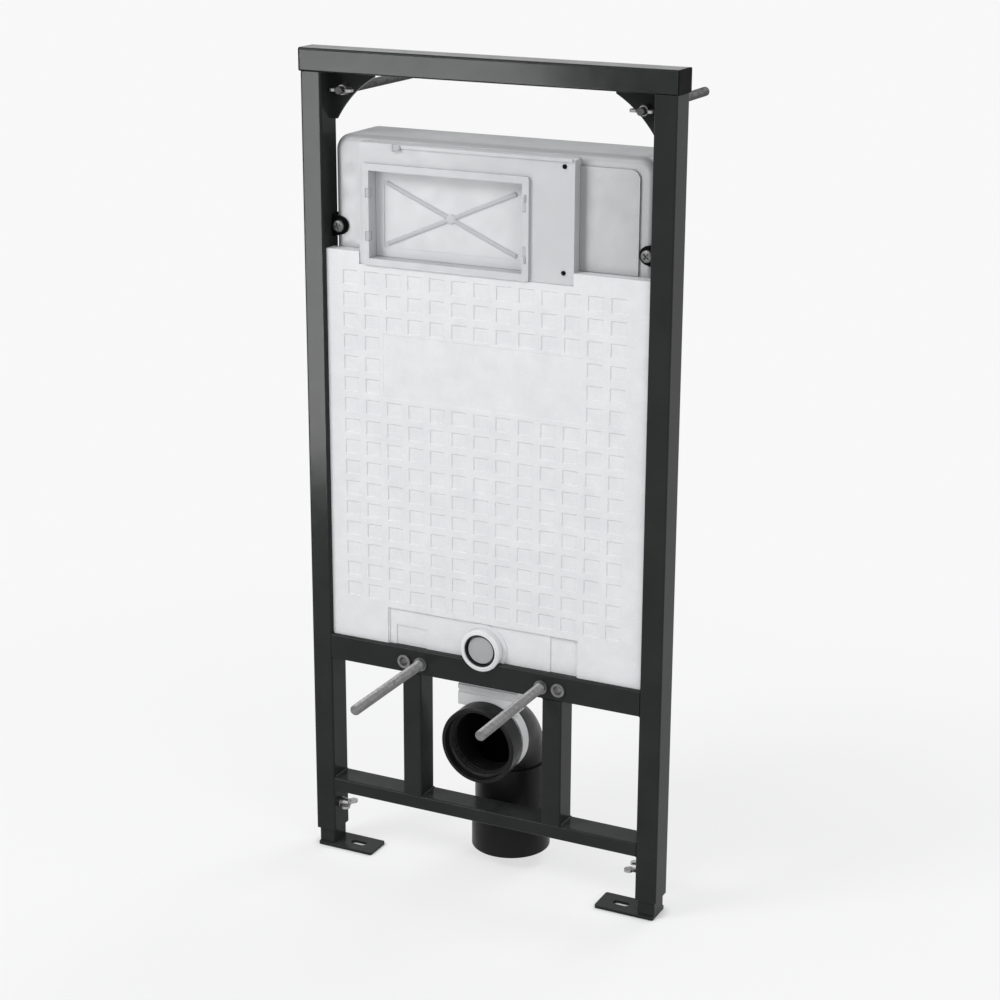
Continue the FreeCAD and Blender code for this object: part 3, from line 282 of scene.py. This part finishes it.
# Nodes with a finish of their own in place of their slot's
OWN_FINISHES = {"access_cover": LIT_COVER_PLASTIC}
for side in SIDES:
    for insert in ("rod_insert", "spare_insert"):
        OWN_FINISHES[f"{side}_{insert}"] = DULL_ZINC

for part in frame["record"]["subparts"]:
    node = frame["nodes"][part["node"]]
    node.data.materials.clear()
    node.data.materials.append(OWN_FINISHES.get(part["node"], FINISHES[part["material_slot"]]))


# Shape helpers
def in_mm(outline):
    """Pairs written in millimetres, as metres."""
    return [(first * MM, second * MM) for first, second in outline]


def facing_front(spot):
    """A place whose Z axis looks out of the frame's front."""
    return Matrix.Translation(spot) @ Matrix.Rotation(math.pi / 2, 4, "X")


def add_turned(shape, outline, place, sides=48):
    """Turns an outline of (radius, height) points about Z."""
    on_axis = 1e-7
    turn = [2 * math.pi * side / sides for side in range(sides)]
    rings = []
    for radius, height in outline:
        if radius < on_axis:
            spots = [(0, 0, height)]
        else:
            spots = [(radius * math.cos(angle), radius * math.sin(angle), height) for angle in turn]
        rings.append([shape.verts.new(place @ Vector(spot)) for spot in spots])
    for lower, upper in zip(rings, rings[1:]):
        for side in range(sides):
            ahead = (side + 1) % sides
            corners = [lower[side % len(lower)], lower[ahead % len(lower)]]
            corners += [upper[ahead % len(upper)], upper[side % len(upper)]]
            corners = list(dict.fromkeys(corners))
            if len(corners) > 2:
                shape.faces.new(corners)


def add_prism(shape, near, far):
    """Joins two rings of corners into a closed solid."""
    shape.faces.new(near)
    shape.faces.new(far)
    for spot in range(len(near)):
        ahead = (spot + 1) % len(near)
        shape.faces.new([near[spot], near[ahead], far[ahead], far[spot]])


def add_block(shape, middle, size):
    """A block with its middle and its size along X, Y and Z in millimetres."""
    place = Matrix.Translation(Vector(middle) * MM)
    bmesh.ops.create_cube(shape, size=1, matrix=place @ Matrix.Diagonal((*(Vector(size) * MM), 1)))


def add_piece(name, shape, slot, stands_for=None, smooth=30, finish=None):
    """A finished bmesh as a piece of the frame that takes a slot's finish, or one of its own."""
    bmesh.ops.remove_doubles(shape, verts=shape.verts, dist=1e-6)
    bmesh.ops.recalc_face_normals(shape, faces=shape.faces)
    mesh = bpy.data.meshes.new(name)
    shape.to_mesh(mesh)
    shape.free()
    mesh.shade_smooth()
    mesh.set_sharp_from_angle(angle=math.radians(smooth))
    mesh.materials.append(finish or FINISHES[slot])
    piece = bpy.data.objects.new(name, mesh)
    bpy.context.scene.collection.objects.link(piece)
    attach(piece, "frame")
    if stands_for:
        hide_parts(stands_for)
    return piece


def soften(piece, width):
    """Rounds a piece's sharp edges."""
    edge = piece.modifiers.new("soft_edges", "BEVEL")
    edge.width = width
    edge.segments = 2
    edge.limit_method = "ANGLE"
    edge.angle_limit = math.radians(35)
    edge.harden_normals = False


# Panel face: the foam's moulded front, with a grid of shallow hollows and a smooth blank field
panel_low, panel_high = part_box("insulation_panel")
access_low, access_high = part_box("access_frame")
SKIN_FRONT = panel_low.y - 1.6 * MM
SKIN_BACK = panel_low.y + 0.1 * MM
SEAT = 0.5 * MM
SERVICE_LEFT, SERVICE_RIGHT, SERVICE_TOP = 101 * MM, 384 * MM, 376 * MM
BLANK_FIELD = (98 * MM, 386 * MM, 669 * MM, 756 * MM)
FIRST_HOLLOW = (39.4 * MM, 384.7 * MM)
HOLLOW_PITCH = (31.9 * MM, 28.8 * MM)
HOLLOW_SIZE = (22.5 * MM, 20 * MM)
HOLLOW_COLUMNS = 13
HOLLOW_ROWS = 16
# How far in from a field's edge, and how deep there
HOLLOW_WALL = in_mm(((0, 0), (0.25, 0.06), (0.5, 0.26), (0.8, 0.85), (1.1, 1.2), (1.6, 1.35)))
BLANK_WALL = in_mm(((0, 0), (0.4, 0.1), (0.8, 0.35), (1.3, 0.5)))


def panel_holds(x, z):
    """Whether the panel's face has foam at a place."""
    if access_low.x - SEAT < x < access_high.x + SEAT and z > access_low.z - SEAT:
        return False
    return not (SERVICE_LEFT < x < SERVICE_RIGHT and z < SERVICE_TOP)


def hollows_in_panel():
    """Left, right, low and high of each hollow that the blank field and the openings leave."""
    left, right, low, high = BLANK_FIELD
    for column in range(HOLLOW_COLUMNS):
        for row in range(HOLLOW_ROWS):
            x = FIRST_HOLLOW[0] + column * HOLLOW_PITCH[0]
            z = FIRST_HOLLOW[1] + row * HOLLOW_PITCH[1]
            across = (x, x + HOLLOW_SIZE[0])
            upward = (z, z + HOLLOW_SIZE[1])
            if across[1] > left and across[0] < right and upward[1] > low and upward[0] < high:
                continue
            if all(panel_holds(i, k) for i in across for k in upward):
                yield (*across, *upward)


def add_hollow(shape, field, wall):
    """A field sunk into the panel's front, its wall rounded at the rim and at the floor."""
    left, right, low, high = field
    rings = []
    for inset, depth in wall:
        near, far = left + inset, right - inset
        bottom, top = low + inset, high - inset
        spots = ((near, bottom), (far, bottom), (far, top), (near, top))
        rings.append([shape.verts.new((x, SKIN_FRONT + depth, z)) for x, z in spots])
    for outer, inner in zip(rings, rings[1:]):
        for side in range(4):
            ahead = (side + 1) % 4
            shape.faces.new([outer[side], outer[ahead], inner[ahead], inner[side]])
    shape.faces.new(rings[-1])


def panel_face():
    fields = {field: HOLLOW_WALL for field in hollows_in_panel()}
    fields[BLANK_FIELD] = BLANK_WALL
    cuts_x = {panel_low.x, panel_high.x, SERVICE_LEFT, SERVICE_RIGHT}
    cuts_x |= {access_low.x - SEAT, access_high.x + SEAT}
    cuts_z = {panel_low.z, panel_high.z, access_low.z - SEAT, SERVICE_TOP}
    for left, right, low, high in fields:
        cuts_x |= {left, right}
        cuts_z |= {low, high}
    across = sorted(cuts_x)
    upward = sorted(cuts_z)
    shape = bmesh.new()

    def middle_of(i, k):
        return (across[i] + across[i + 1]) / 2, (upward[k] + upward[k + 1]) / 2

    def is_foam(i, k):
        if not (0 <= i < len(across) - 1 and 0 <= k < len(upward) - 1):
            return False
        return panel_holds(*middle_of(i, k))

    def add_face(*corners):
        shape.faces.new([shape.verts.new((across[i], y, upward[k])) for i, k, y in corners])

    for i in range(len(across) - 1):
        for k in range(len(upward) - 1):
            if not is_foam(i, k):
                continue
            x, z = middle_of(i, k)
            ring = ((i, k), (i + 1, k), (i + 1, k + 1), (i, k + 1))
            add_face(*((*corner, SKIN_BACK) for corner in ring))
            if not any(left < x < right and low < z < high for left, right, low, high in fields):
                add_face(*((*corner, SKIN_FRONT) for corner in ring))
            beside = ((i, k - 1), (i + 1, k), (i, k + 1), (i - 1, k))
            for side, place in enumerate(beside):
                if not is_foam(*place):
                    a, b = ring[side], ring[(side + 1) % 4]
                    add_face((*a, SKIN_FRONT), (*b, SKIN_FRONT), (*b, SKIN_BACK), (*a, SKIN_BACK))
    for field, wall in fields.items():
        add_hollow(shape, field, wall)
    add_piece("panel_face", shape, "polystyrene", smooth=12)


panel_face()

# Threaded rods: a plain neck in the nut or insert, then a rolled thread with a chamfered tip
THREAD_SIDES = 20
NECK_SIDES = 24
NECK_PROUD = 0.05 * MM
NECK_CHAMFER = 1 * MM
# Where the thread's crest starts and ends, as shares of the pitch
CREST = (0.42, 0.58)


def add_thread(shape, place, radius, root, pitch, start, end):
    """A helical thread about Z from start to end."""
    tip = radius - root
    steps = int(((end - start) / pitch + 2) * THREAD_SIDES)
    rows = []
    for step in range(steps + 1):
        angle = 2 * math.pi * step / THREAD_SIDES
        base = start - pitch + pitch * step / THREAD_SIDES
        row = []
        for lift, reach in ((0.0, root), (CREST[0], radius), (CREST[1], radius)):
            height = min(max(base + lift * pitch, start), end)
            room = root + min(end - height, height - start, tip)
            across = min(reach, room)
            spot = Vector((across * math.cos(angle), across * math.sin(angle), height))
            row.append(shape.verts.new(place @ spot))
        rows.append(row)
    for step in range(steps):
        here = rows[step]
        ahead = rows[step + 1]
        for level in (0, 1):
            shape.faces.new([here[level], ahead[level], ahead[level + 1], here[level + 1]])
        next_turn = step + THREAD_SIDES
        if next_turn < steps:
            shape.faces.new([here[2], ahead[2], rows[next_turn + 1][0], rows[next_turn][0]])


def threaded_rod(node, toward, radius, root, pitch, neck, finish):
    """Stands for a rod node that runs along Y; toward is the sign of Y at its free end."""
    low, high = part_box(node)
    length = high.y - low.y
    foot = low.y if toward > 0 else high.y
    turn = Matrix.Rotation(math.radians(-90 * toward), 4, "X")
    place = Matrix.Translation(((low.x + high.x) / 2, foot, (low.z + high.z) / 2)) @ turn
    stem = root + NECK_PROUD
    plain = [(0, 0), (stem - NECK_CHAMFER, 0), (stem, NECK_CHAMFER), (stem, neck), (0, neck)]
    shape = bmesh.new()
    add_turned(shape, plain, place, NECK_SIDES)
    add_thread(shape, place, radius, root, pitch, neck, length)
    add_turned(shape, [(root, length), (0, length)], place, THREAD_SIDES)
    add_turned(shape, [(0, neck), (root, neck)], place, THREAD_SIDES)
    add_piece(f"{node}_thread", shape, "zinc_steel", node, smooth=40, finish=finish)


for side in SIDES:
    threaded_rod(
        f"{side}_bowl_rod", toward=-1, radius=7 * MM, root=6.05 * MM, pitch=2 * MM,
        neck=34.5 * MM, finish=DULL_ZINC)
    threaded_rod(
        f"{side}_wall_rod", toward=1, radius=6 * MM, root=5.05 * MM, pitch=1.75 * MM,
        neck=27 * MM, finish=DARK_ZINC)


# Screws with a domed head and a cross recess, in shares of the head's radius and height
SCREW_DOME = (
    (0, 0), (0.97, 0), (1, 0.08), (1, 0.5), (0.94, 0.7), (0.8, 0.85), (0.6, 0.94), (0.3, 0.99), (0, 1),
)
CROSS_ARM = 0.62
CROSS_HALF_WIDTH = 0.13
CROSS_TAPER = 0.8
CROSS_FLOOR = 0.4
CUTTER_TOP = 1.3


def carve(piece, shape):
    """Cuts a closed bmesh out of a piece."""
    mesh = bpy.data.meshes.new("cutter")
    shape.to_mesh(mesh)
    shape.free()
    cutter = bpy.data.objects.new("cutter", mesh)
    bpy.context.scene.collection.objects.link(cutter)
    cut = piece.modifiers.new("cut", "BOOLEAN")
    cut.object = cutter
    whole = piece.data
    carved = piece.evaluated_get(bpy.context.evaluated_depsgraph_get())
    piece.data = bpy.data.meshes.new_from_object(carved)
    piece.modifiers.remove(cut)
    bpy.data.objects.remove(cutter)
    bpy.data.meshes.remove(mesh)
    bpy.data.meshes.remove(whole)


def cross_screw(name, seat, radius, height, slot, turn, stands_for=None, finish=None):
    """A screw head on a seat that faces the front, its cross turned by an angle."""
    place = facing_front(seat) @ Matrix.Rotation(turn, 4, "Z")
    shape = bmesh.new()
    add_turned(shape, [(radius * r, height * h) for r, h in SCREW_DOME], place)
    screw = add_piece(name, shape, slot, stands_for, smooth=45, finish=finish)
    arm = CROSS_ARM * radius
    half = CROSS_HALF_WIDTH * radius
    quarter = [Vector(spot) for spot in ((arm, -half), (arm, half), (half, half))]
    cross = [Matrix.Rotation(math.pi / 2 * side, 2) @ spot for side in range(4) for spot in quarter]
    shape = bmesh.new()
    ends = []
    for taper, level in ((CROSS_TAPER, CROSS_FLOOR), (1, CUTTER_TOP)):
        spots = [Vector((taper * x, taper * y, level * height)) for x, y in cross]
        ends.append([shape.verts.new(place @ spot) for spot in spots])
    add_prism(shape, *ends)
    bmesh.ops.recalc_face_normals(shape, faces=shape.faces)
    carve(screw, shape)


for side, turn in (("left", 0.35), ("right", 0.9)):
    low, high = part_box(f"{side}_clip_screw")
    seat = ((low.x + high.x) / 2, high.y, (low.z + high.z) / 2)
    cross_screw(
        f"{side}_clip_screw_head", seat, (high.x - low.x) / 2, high.y - low.y, "zinc_steel", turn,
        f"{side}_clip_screw", DULL_ZINC)

PLATE_SCREW_X = 356 * MM
PLATE_FRONT = -12 * MM
PLATE_SCREW_RADIUS = 3 * MM
PLATE_SCREW_HEIGHT = 1.6 * MM
for name, turn, z in (("upper", 0.2, 994 * MM), ("lower", 0.6, 861 * MM)):
    cross_screw(
        f"plate_screw_{name}", (PLATE_SCREW_X, PLATE_FRONT, z), PLATE_SCREW_RADIUS,
        PLATE_SCREW_HEIGHT, "black_plastic", turn)

# Clips of the cistern: a plate along the post, and a lug with a round end and a collar for the screw
CLIP_SHEET = 3 * MM
CLIP_SHOULDER = (6 * MM, 1 * MM)
CLIP_COLLAR_PROUD = 2 * MM
CLIP_COLLAR = in_mm(((0, 0), (10.5, 0), (10.5, 1.6), (10.1, 2), (0, 2)))


def cistern_clip(side, inward):
    """Stands for a clip node; inward is the sign of X from the post to the cistern."""
    low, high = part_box(f"{side}_cistern_clip")
    screw_low, screw_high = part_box(f"{side}_clip_screw")
    wall = low.x if inward > 0 else high.x
    middle_z = (low.z + high.z) / 2
    half = (high.z - low.z) / 2
    reach = (high.x - low.x) / 2
    front = low.y + CLIP_COLLAR_PROUD
    back = front + CLIP_SHEET
    along, drop = CLIP_SHOULDER
    arc = [math.radians(angle) for angle in range(-80, 81, 8)]
    lug = [(0, -half), (along, -half + drop)]
    lug += [(reach + reach * math.cos(angle), reach * math.sin(angle)) for angle in arc]
    lug += [(along, half - drop), (0, half)]
    plate = [(0, -half), (CLIP_SHEET, -half), (CLIP_SHEET, half), (0, half)]
    shape = bmesh.new()
    for outline, *depths in ((lug, front, back), (plate, back, high.y)):
        ends = []
        for y in depths:
            spots = [(wall + inward * x, y, middle_z + z) for x, z in outline]
            ends.append([shape.verts.new(spot) for spot in spots])
        add_prism(shape, *ends)
    seat = ((screw_low.x + screw_high.x) / 2, front, middle_z)
    add_turned(shape, CLIP_COLLAR, facing_front(seat))
    soften(add_piece(f"{side}_clip_lug", shape, "black_plastic", f"{side}_cistern_clip"), 0.4 * MM)


cistern_clip("left", 1)
cistern_clip("right", -1)

# Weld beads in the corners between the tubes
BEAD_RADIUS = 1.7 * MM
BEAD_RIPPLE = 2.2 * MM
BEAD_SWELL = 0.16
BEAD_SIDES = 10
BEAD_BACK = 17 * MM
BEAD_INSET = 3 * MM


def add_bead(shape, start, end):
    """A rippled bead along a straight seam."""
    run = Vector(end) - Vector(start)
    turn = run.to_track_quat("Z", "Y").to_matrix().to_4x4()
    rings = int(run.length / (BEAD_RIPPLE / 4))
    outline = [(0, 0)]
    for ring in range(rings + 1):
        along = run.length * ring / rings
        swell = abs(math.sin(math.pi * along / BEAD_RIPPLE))
        outline.append((BEAD_RADIUS * (1 - BEAD_SWELL + BEAD_SWELL * swell), along))
    outline.append((0, run.length))
    add_turned(shape, outline, Matrix.Translation(start) @ turn, BEAD_SIDES)


def weld_beads():
    rail_low, rail_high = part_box("bolt_rail")
    foot_low, foot_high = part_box("bottom_rail")
    bar_low, bar_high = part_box("top_bar")
    shape = bmesh.new()
    for side in SIDES:
        post_low, post_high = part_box(f"{side}_post")
        inner = post_high.x if side == "left" else post_low.x
        for z in (rail_low.z, rail_high.z, bar_low.z):
            add_bead(shape, (inner, -BEAD_BACK, z), (inner, BEAD_BACK, z))
        for z in (foot_low.z, foot_high.z):
            add_bead(shape, (inner, foot_low.y + BEAD_INSET, z), (inner, foot_high.y - BEAD_INSET, z))
        tube_low, tube_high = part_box(f"{side}_upright")
        back = min(tube_high.y, BEAD_BACK)
        for x in (tube_low.x, tube_high.x):
            for z, rail_front in ((foot_high.z, foot_low.y), (rail_low.z, rail_low.y)):
                front = max(tube_low.y, rail_front) + BEAD_INSET
                add_bead(shape, (x, front, z), (x, back, z))
    add_piece("weld_beads", shape, "powder_coated_steel", smooth=60)


weld_beads()

# Lips of the seal inside the waste mouth
SEAL_BORE = 45.2 * MM
LIP_DEPTHS = (3.5 * MM, 9 * MM)
# How far out from the bore, and how deep past the lip's start
LIP_OUTLINE = in_mm((
    (0.3, 0), (-0.9, 0.3), (-1.7, 1.2), (-1.9, 1.8), (-1.6, 2.1), (-0.8, 1.9), (0.3, 2.3),
))


def seal_lips():
    low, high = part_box("waste_seal")
    place = facing_front(((low.x + high.x) / 2, high.y, (low.z + high.z) / 2))
    shape = bmesh.new()
    for depth in LIP_DEPTHS:
        outline = [(SEAL_BORE + out, depth + along) for out, along in LIP_OUTLINE]
        add_turned(shape, outline, place, sides=72)
    add_piece("seal_lips", shape, "rubber", smooth=60)


seal_lips()

# Black gasket between the flush ring and its plug, which also stands in for the shade in the gap there,
# and the ring's raised inner lip
PLUG_FLANGE = 3 * MM
# the gasket's black is partly a painted shade for the gap between ring and plug
GASKET_AND_GAP_SHADE = in_mm(((22.7, 0), (22.7, 8.2), (22.2, 8.5), (21.4, 8.5), (20.9, 8), (20.9, 0), (22.7, 0)))
RING_LIP = in_mm(((25.6, 0), (25.6, 0.5), (25.1, 0.9), (23.4, 0.9), (22.9, 0.5), (22.9, 0), (25.6, 0)))


def flush_trim():
    low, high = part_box("flush_ring")
    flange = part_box("flush_plug")[1].y - PLUG_FLANGE
    for name, outline, y, slot in (
        ("flush_gasket_and_gap_shade", GASKET_AND_GAP_SHADE, flange, "rubber"), ("flush_ring_lip", RING_LIP, low.y, "white_plastic"),
    ):
        shape = bmesh.new()
        place = facing_front(((low.x + high.x) / 2, y, (low.z + high.z) / 2))
        add_turned(shape, outline, place, sides=64)
        add_piece(name, shape, slot, smooth=50)


flush_trim()

# Crossed ribs on the access cover, with a boss where they meet
COVER_SHEET = 1.5 * MM
RIB_INSET = 17 * MM
# How far to the side of a rib's middle, and how far out of the cover
RIB_SECTION = in_mm((
    (-2.8, 0), (-2.65, 1.3), (-2.2, 1.75), (-1.2, 1.95), (1.2, 1.95), (2.2, 1.75), (2.65, 1.3), (2.8, 0),
))
RIB_DRAFT = 0.4
RIB_TOP = 2 * MM
COVER_BOSS = in_mm(((0, 0), (6, 0), (6, 1.7), (5.6, 2.15), (4.8, 2.4), (0, 2.45)))


def cover_ribs():
    low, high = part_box("access_cover")
    middle = Vector(((low.x + high.x) / 2, low.y + COVER_SHEET, (low.z + high.z) / 2))
    reach_x = high.x - middle.x - RIB_INSET
    reach_z = high.z - middle.z - RIB_INSET
    front = Vector((0, -1, 0))
    shape = bmesh.new()
    for slope in (1, -1):
        run = Vector((reach_x, 0, slope * reach_z))
        along = run.normalized()
        across = Vector((-along.z, 0, along.x))
        ends = []
        for tip in (-1, 1):
            ring = []
            for side, out in RIB_SECTION:
                lean = along * tip * (RIB_TOP - out) * RIB_DRAFT
                ring.append(shape.verts.new(middle + run * tip + lean + across * side + front * out))
            ends.append(ring)
        add_prism(shape, *ends)
    add_piece("cover_ribs", shape, "access_plastic", smooth=35)
    boss = bmesh.new()
    add_turned(boss, COVER_BOSS, facing_front(middle), sides=32)
    add_piece("cover_boss", boss, "access_plastic", finish=LIT_COVER_PLASTIC)


cover_ribs()

# Spring catches in the notches of the access frame's rim, and oval buttons on its right side
CATCH_HEIGHTS = (940, 884)
# The X of the rim's inner edges, and the sign of X from there into the notches
RIM_INNER_EDGES = ((81, -1), (300, 1))
# How far into a notch and at which Y, and the size, in millimetres
CATCH = ((2.4, -12.4), (4.6, 6.6, 11.4))
TONGUE = ((0.6, -12.8), (1.6, 4.4, 7))
RIM_FRONT = -16 * MM
BUTTON_X = 304 * MM
BUTTON_HEIGHTS = (951 * MM, 873 * MM)
BUTTON_NARROWING = 0.42
BUTTON = in_mm(((0, -0.4), (5, -0.4), (5, 0.3), (4.5, 0.7), (0, 0.9)))


def rim_catches():
    shape = bmesh.new()
    for inner, outward in RIM_INNER_EDGES:
        for z in CATCH_HEIGHTS:
            for (step, y), size in (CATCH, TONGUE):
                add_block(shape, (inner + step * outward, y, z), size)
    soften(add_piece("rim_catches", shape, "access_plastic"), 0.4 * MM)
    shape = bmesh.new()
    for z in BUTTON_HEIGHTS:
        oval = Matrix.Diagonal((BUTTON_NARROWING, 1, 1, 1))
        add_turned(shape, BUTTON, facing_front((BUTTON_X, RIM_FRONT, z)) @ oval, sides=32)
    add_piece("rim_catch_ends", shape, "grey_plastic", smooth=50)


rim_catches()

# Small latch at the left end of the access frame's top lip: middle and size of its blocks
LATCH_BODY = ((121, -14.2, 1000.5), (12, 4.4, 7))
LATCH_PULL = ((121, -16.8, 998.6), (9, 1.6, 2.2))
LATCH_HINGE = ((116.5, -14.6, 1000.5), (2, 5.4, 9))


def lip_latch():
    shape = bmesh.new()
    for middle, size in (LATCH_BODY, LATCH_PULL, LATCH_HINGE):
        add_block(shape, middle, size)
    soften(add_piece("lip_latch", shape, "access_plastic"), 0.5 * MM)


lip_latch()

# Studio: pale floor that fades into a white surround, soft lamps, the photograph's camera
SURROUND = (0.94, 0.94, 0.94, 1)
MIDDLE = Vector((0.245, 0, 0.6))


def seen_straight(tree):
    """One for rays from the camera and for those that metal or glass sends on, nought for light."""
    path = add_node(tree, "LightPath")
    seen = path.outputs["Is Camera Ray"]
    for ray in ("Is Glossy Ray", "Is Transmission Ray"):
        either = add_node(tree, "Math", operation="MAXIMUM")
        tree.links.new(seen, either.inputs[0])
        tree.links.new(path.outputs[ray], either.inputs[1])
        seen = either.outputs["Value"]
    return seen


def blend_shaders(tree, factor, first, second, output):
    blend = add_node(tree, "MixShader")
    tree.links.new(factor, blend.inputs["Fac"])
    tree.links.new(first, blend.inputs[1])
    tree.links.new(second, blend.inputs[2])
    tree.links.new(blend.outputs["Shader"], tree.nodes[output].inputs["Surface"])


def white_surround():
    world = bpy.data.worlds.new("studio")
    bpy.context.scene.world = world
    world.use_nodes = True
    tree = world.node_tree
    light = tree.nodes["Background"]
    set_inputs(light, Color=(0.97, 0.98, 1.0, 1), Strength=0.5)
    view = add_node(tree, "Background")
    set_inputs(view, Color=SURROUND)
    blend_shaders(
        tree, seen_straight(tree), light.outputs["Background"], view.outputs["Background"],
        "World Output")


def open_floor(tree):
    """How much of the floor's look is the surround: more further out, none under the object."""
    place = add_node(tree, "TexCoord")
    distance = add_node(tree, "VectorMath", operation="LENGTH")
    tree.links.new(place.outputs["Object"], distance.inputs[0])
    fade = add_node(tree, "MapRange", interpolation_type="SMOOTHSTEP")
    set_inputs(fade, From_Min=0.4, From_Max=1.5, To_Min=0.7, To_Max=1.0)
    tree.links.new(distance.outputs["Value"], fade.inputs["Value"])
    near = add_node(tree, "AmbientOcclusion", samples=8)
    set_inputs(near, Distance=15 * MM)
    contact = add_node(tree, "Math", operation="POWER")
    openness, exponent = contact.inputs[0], contact.inputs[1]
    exponent.default_value = 3
    tree.links.new(near.outputs["AO"], openness)
    return multiplied(tree, fade.outputs["Result"], contact.outputs["Value"])


def pale_floor():
    """A floor that takes the object's shadow and turns into the surround further out."""
    shape = bmesh.new()
    bmesh.ops.create_circle(shape, cap_ends=True, radius=30, segments=96)
    mesh = bpy.data.meshes.new("floor")
    shape.to_mesh(mesh)
    shape.free()
    floor = bpy.data.objects.new("floor", mesh)
    floor.location = (MIDDLE.x, MIDDLE.y, -0.5 * MM)
    bpy.context.scene.collection.objects.link(floor)
    paint = bpy.data.materials.new("pale_floor")
    paint.use_nodes = True
    mesh.materials.append(paint)
    tree = paint.node_tree
    matte = tree.nodes["Principled BSDF"]
    set_inputs(matte, Base_Color=(0.9, 0.9, 0.9, 1), Roughness=0.9, Specular_IOR_Level=0.1)
    glow = add_node(tree, "Emission")
    set_inputs(glow, Color=SURROUND)
    share = multiplied(tree, open_floor(tree), seen_straight(tree))
    blend_shaders(tree, share, matte.outputs["BSDF"], glow.outputs["Emission"], "Material Output")


def add_lamp(name, place, aim, size, power, lights_matte=True, lights_only=()):
    """A soft square or oblong lamp; size in metres, power in watts."""
    lamp = bpy.data.lights.new(name, "AREA")
    lamp.shape = "RECTANGLE"
    lamp.size, lamp.size_y = size
    lamp.energy = power
    light = bpy.data.objects.new(name, lamp)
    light.location = place
    light.rotation_euler = (Vector(aim) - Vector(place)).to_track_quat("-Z", "Y").to_euler()
    light.visible_diffuse = lights_matte
    if lights_only:
        light.light_linking.receiver_collection = bpy.data.collections.new(f"lit_by_{name}")
        for node in lights_only:
            light.light_linking.receiver_collection.objects.link(frame["nodes"][node])
    bpy.context.scene.collection.objects.link(light)


def lamps():
    add_lamp("key", (-1.4, -2.05, 2.7), MIDDLE, (1.2, 1.2), power=57)
    add_lamp("fill", (2.7, -1.6, 1.6), MIDDLE, (1.6, 1.6), power=18)
    add_lamp("back", (0.9, 2.4, 2.3), MIDDLE, (1.4, 1.4), power=30)
    # a card whose glow shows in the upper left of the front faces, most in the coat
    card = {"place": (-0.44, -1.0, 0.64), "aim": (-0.44, 0.0, 0.64), "size": (0.65, 0.85)}
    for name, power, nodes in (
        ("card", 14, ("access_frame", "access_cover")),
        ("cistern_card", 22, ("cistern",)),
        ("coat_card", 50, ("left_post", "top_bar")),
    ):
        add_lamp(name, **card, power=power, lights_matte=False, lights_only=nodes)


def photo_camera():
    """The camera that was fitted to the photograph's posts and rails."""
    lens = bpy.data.cameras.new("camera")
    lens.sensor_width = 36
    lens.lens = 80.6
    camera = bpy.data.objects.new("camera", lens)
    camera.location = (1.4928, -2.5084, 1.4372)
    view = Vector((-0.41936, 0.85564, -0.30335)).to_track_quat("-Z", "Y")
    roll = math.radians(0.24)
    camera.rotation_euler = (view.to_matrix() @ Matrix.Rotation(roll, 3, "Z")).to_euler()
    bpy.context.scene.collection.objects.link(camera)
    bpy.context.scene.camera = camera


bpy.context.scene.view_settings.view_transform = "Standard"
white_surround()
pale_floor()
lamps()
photo_camera()
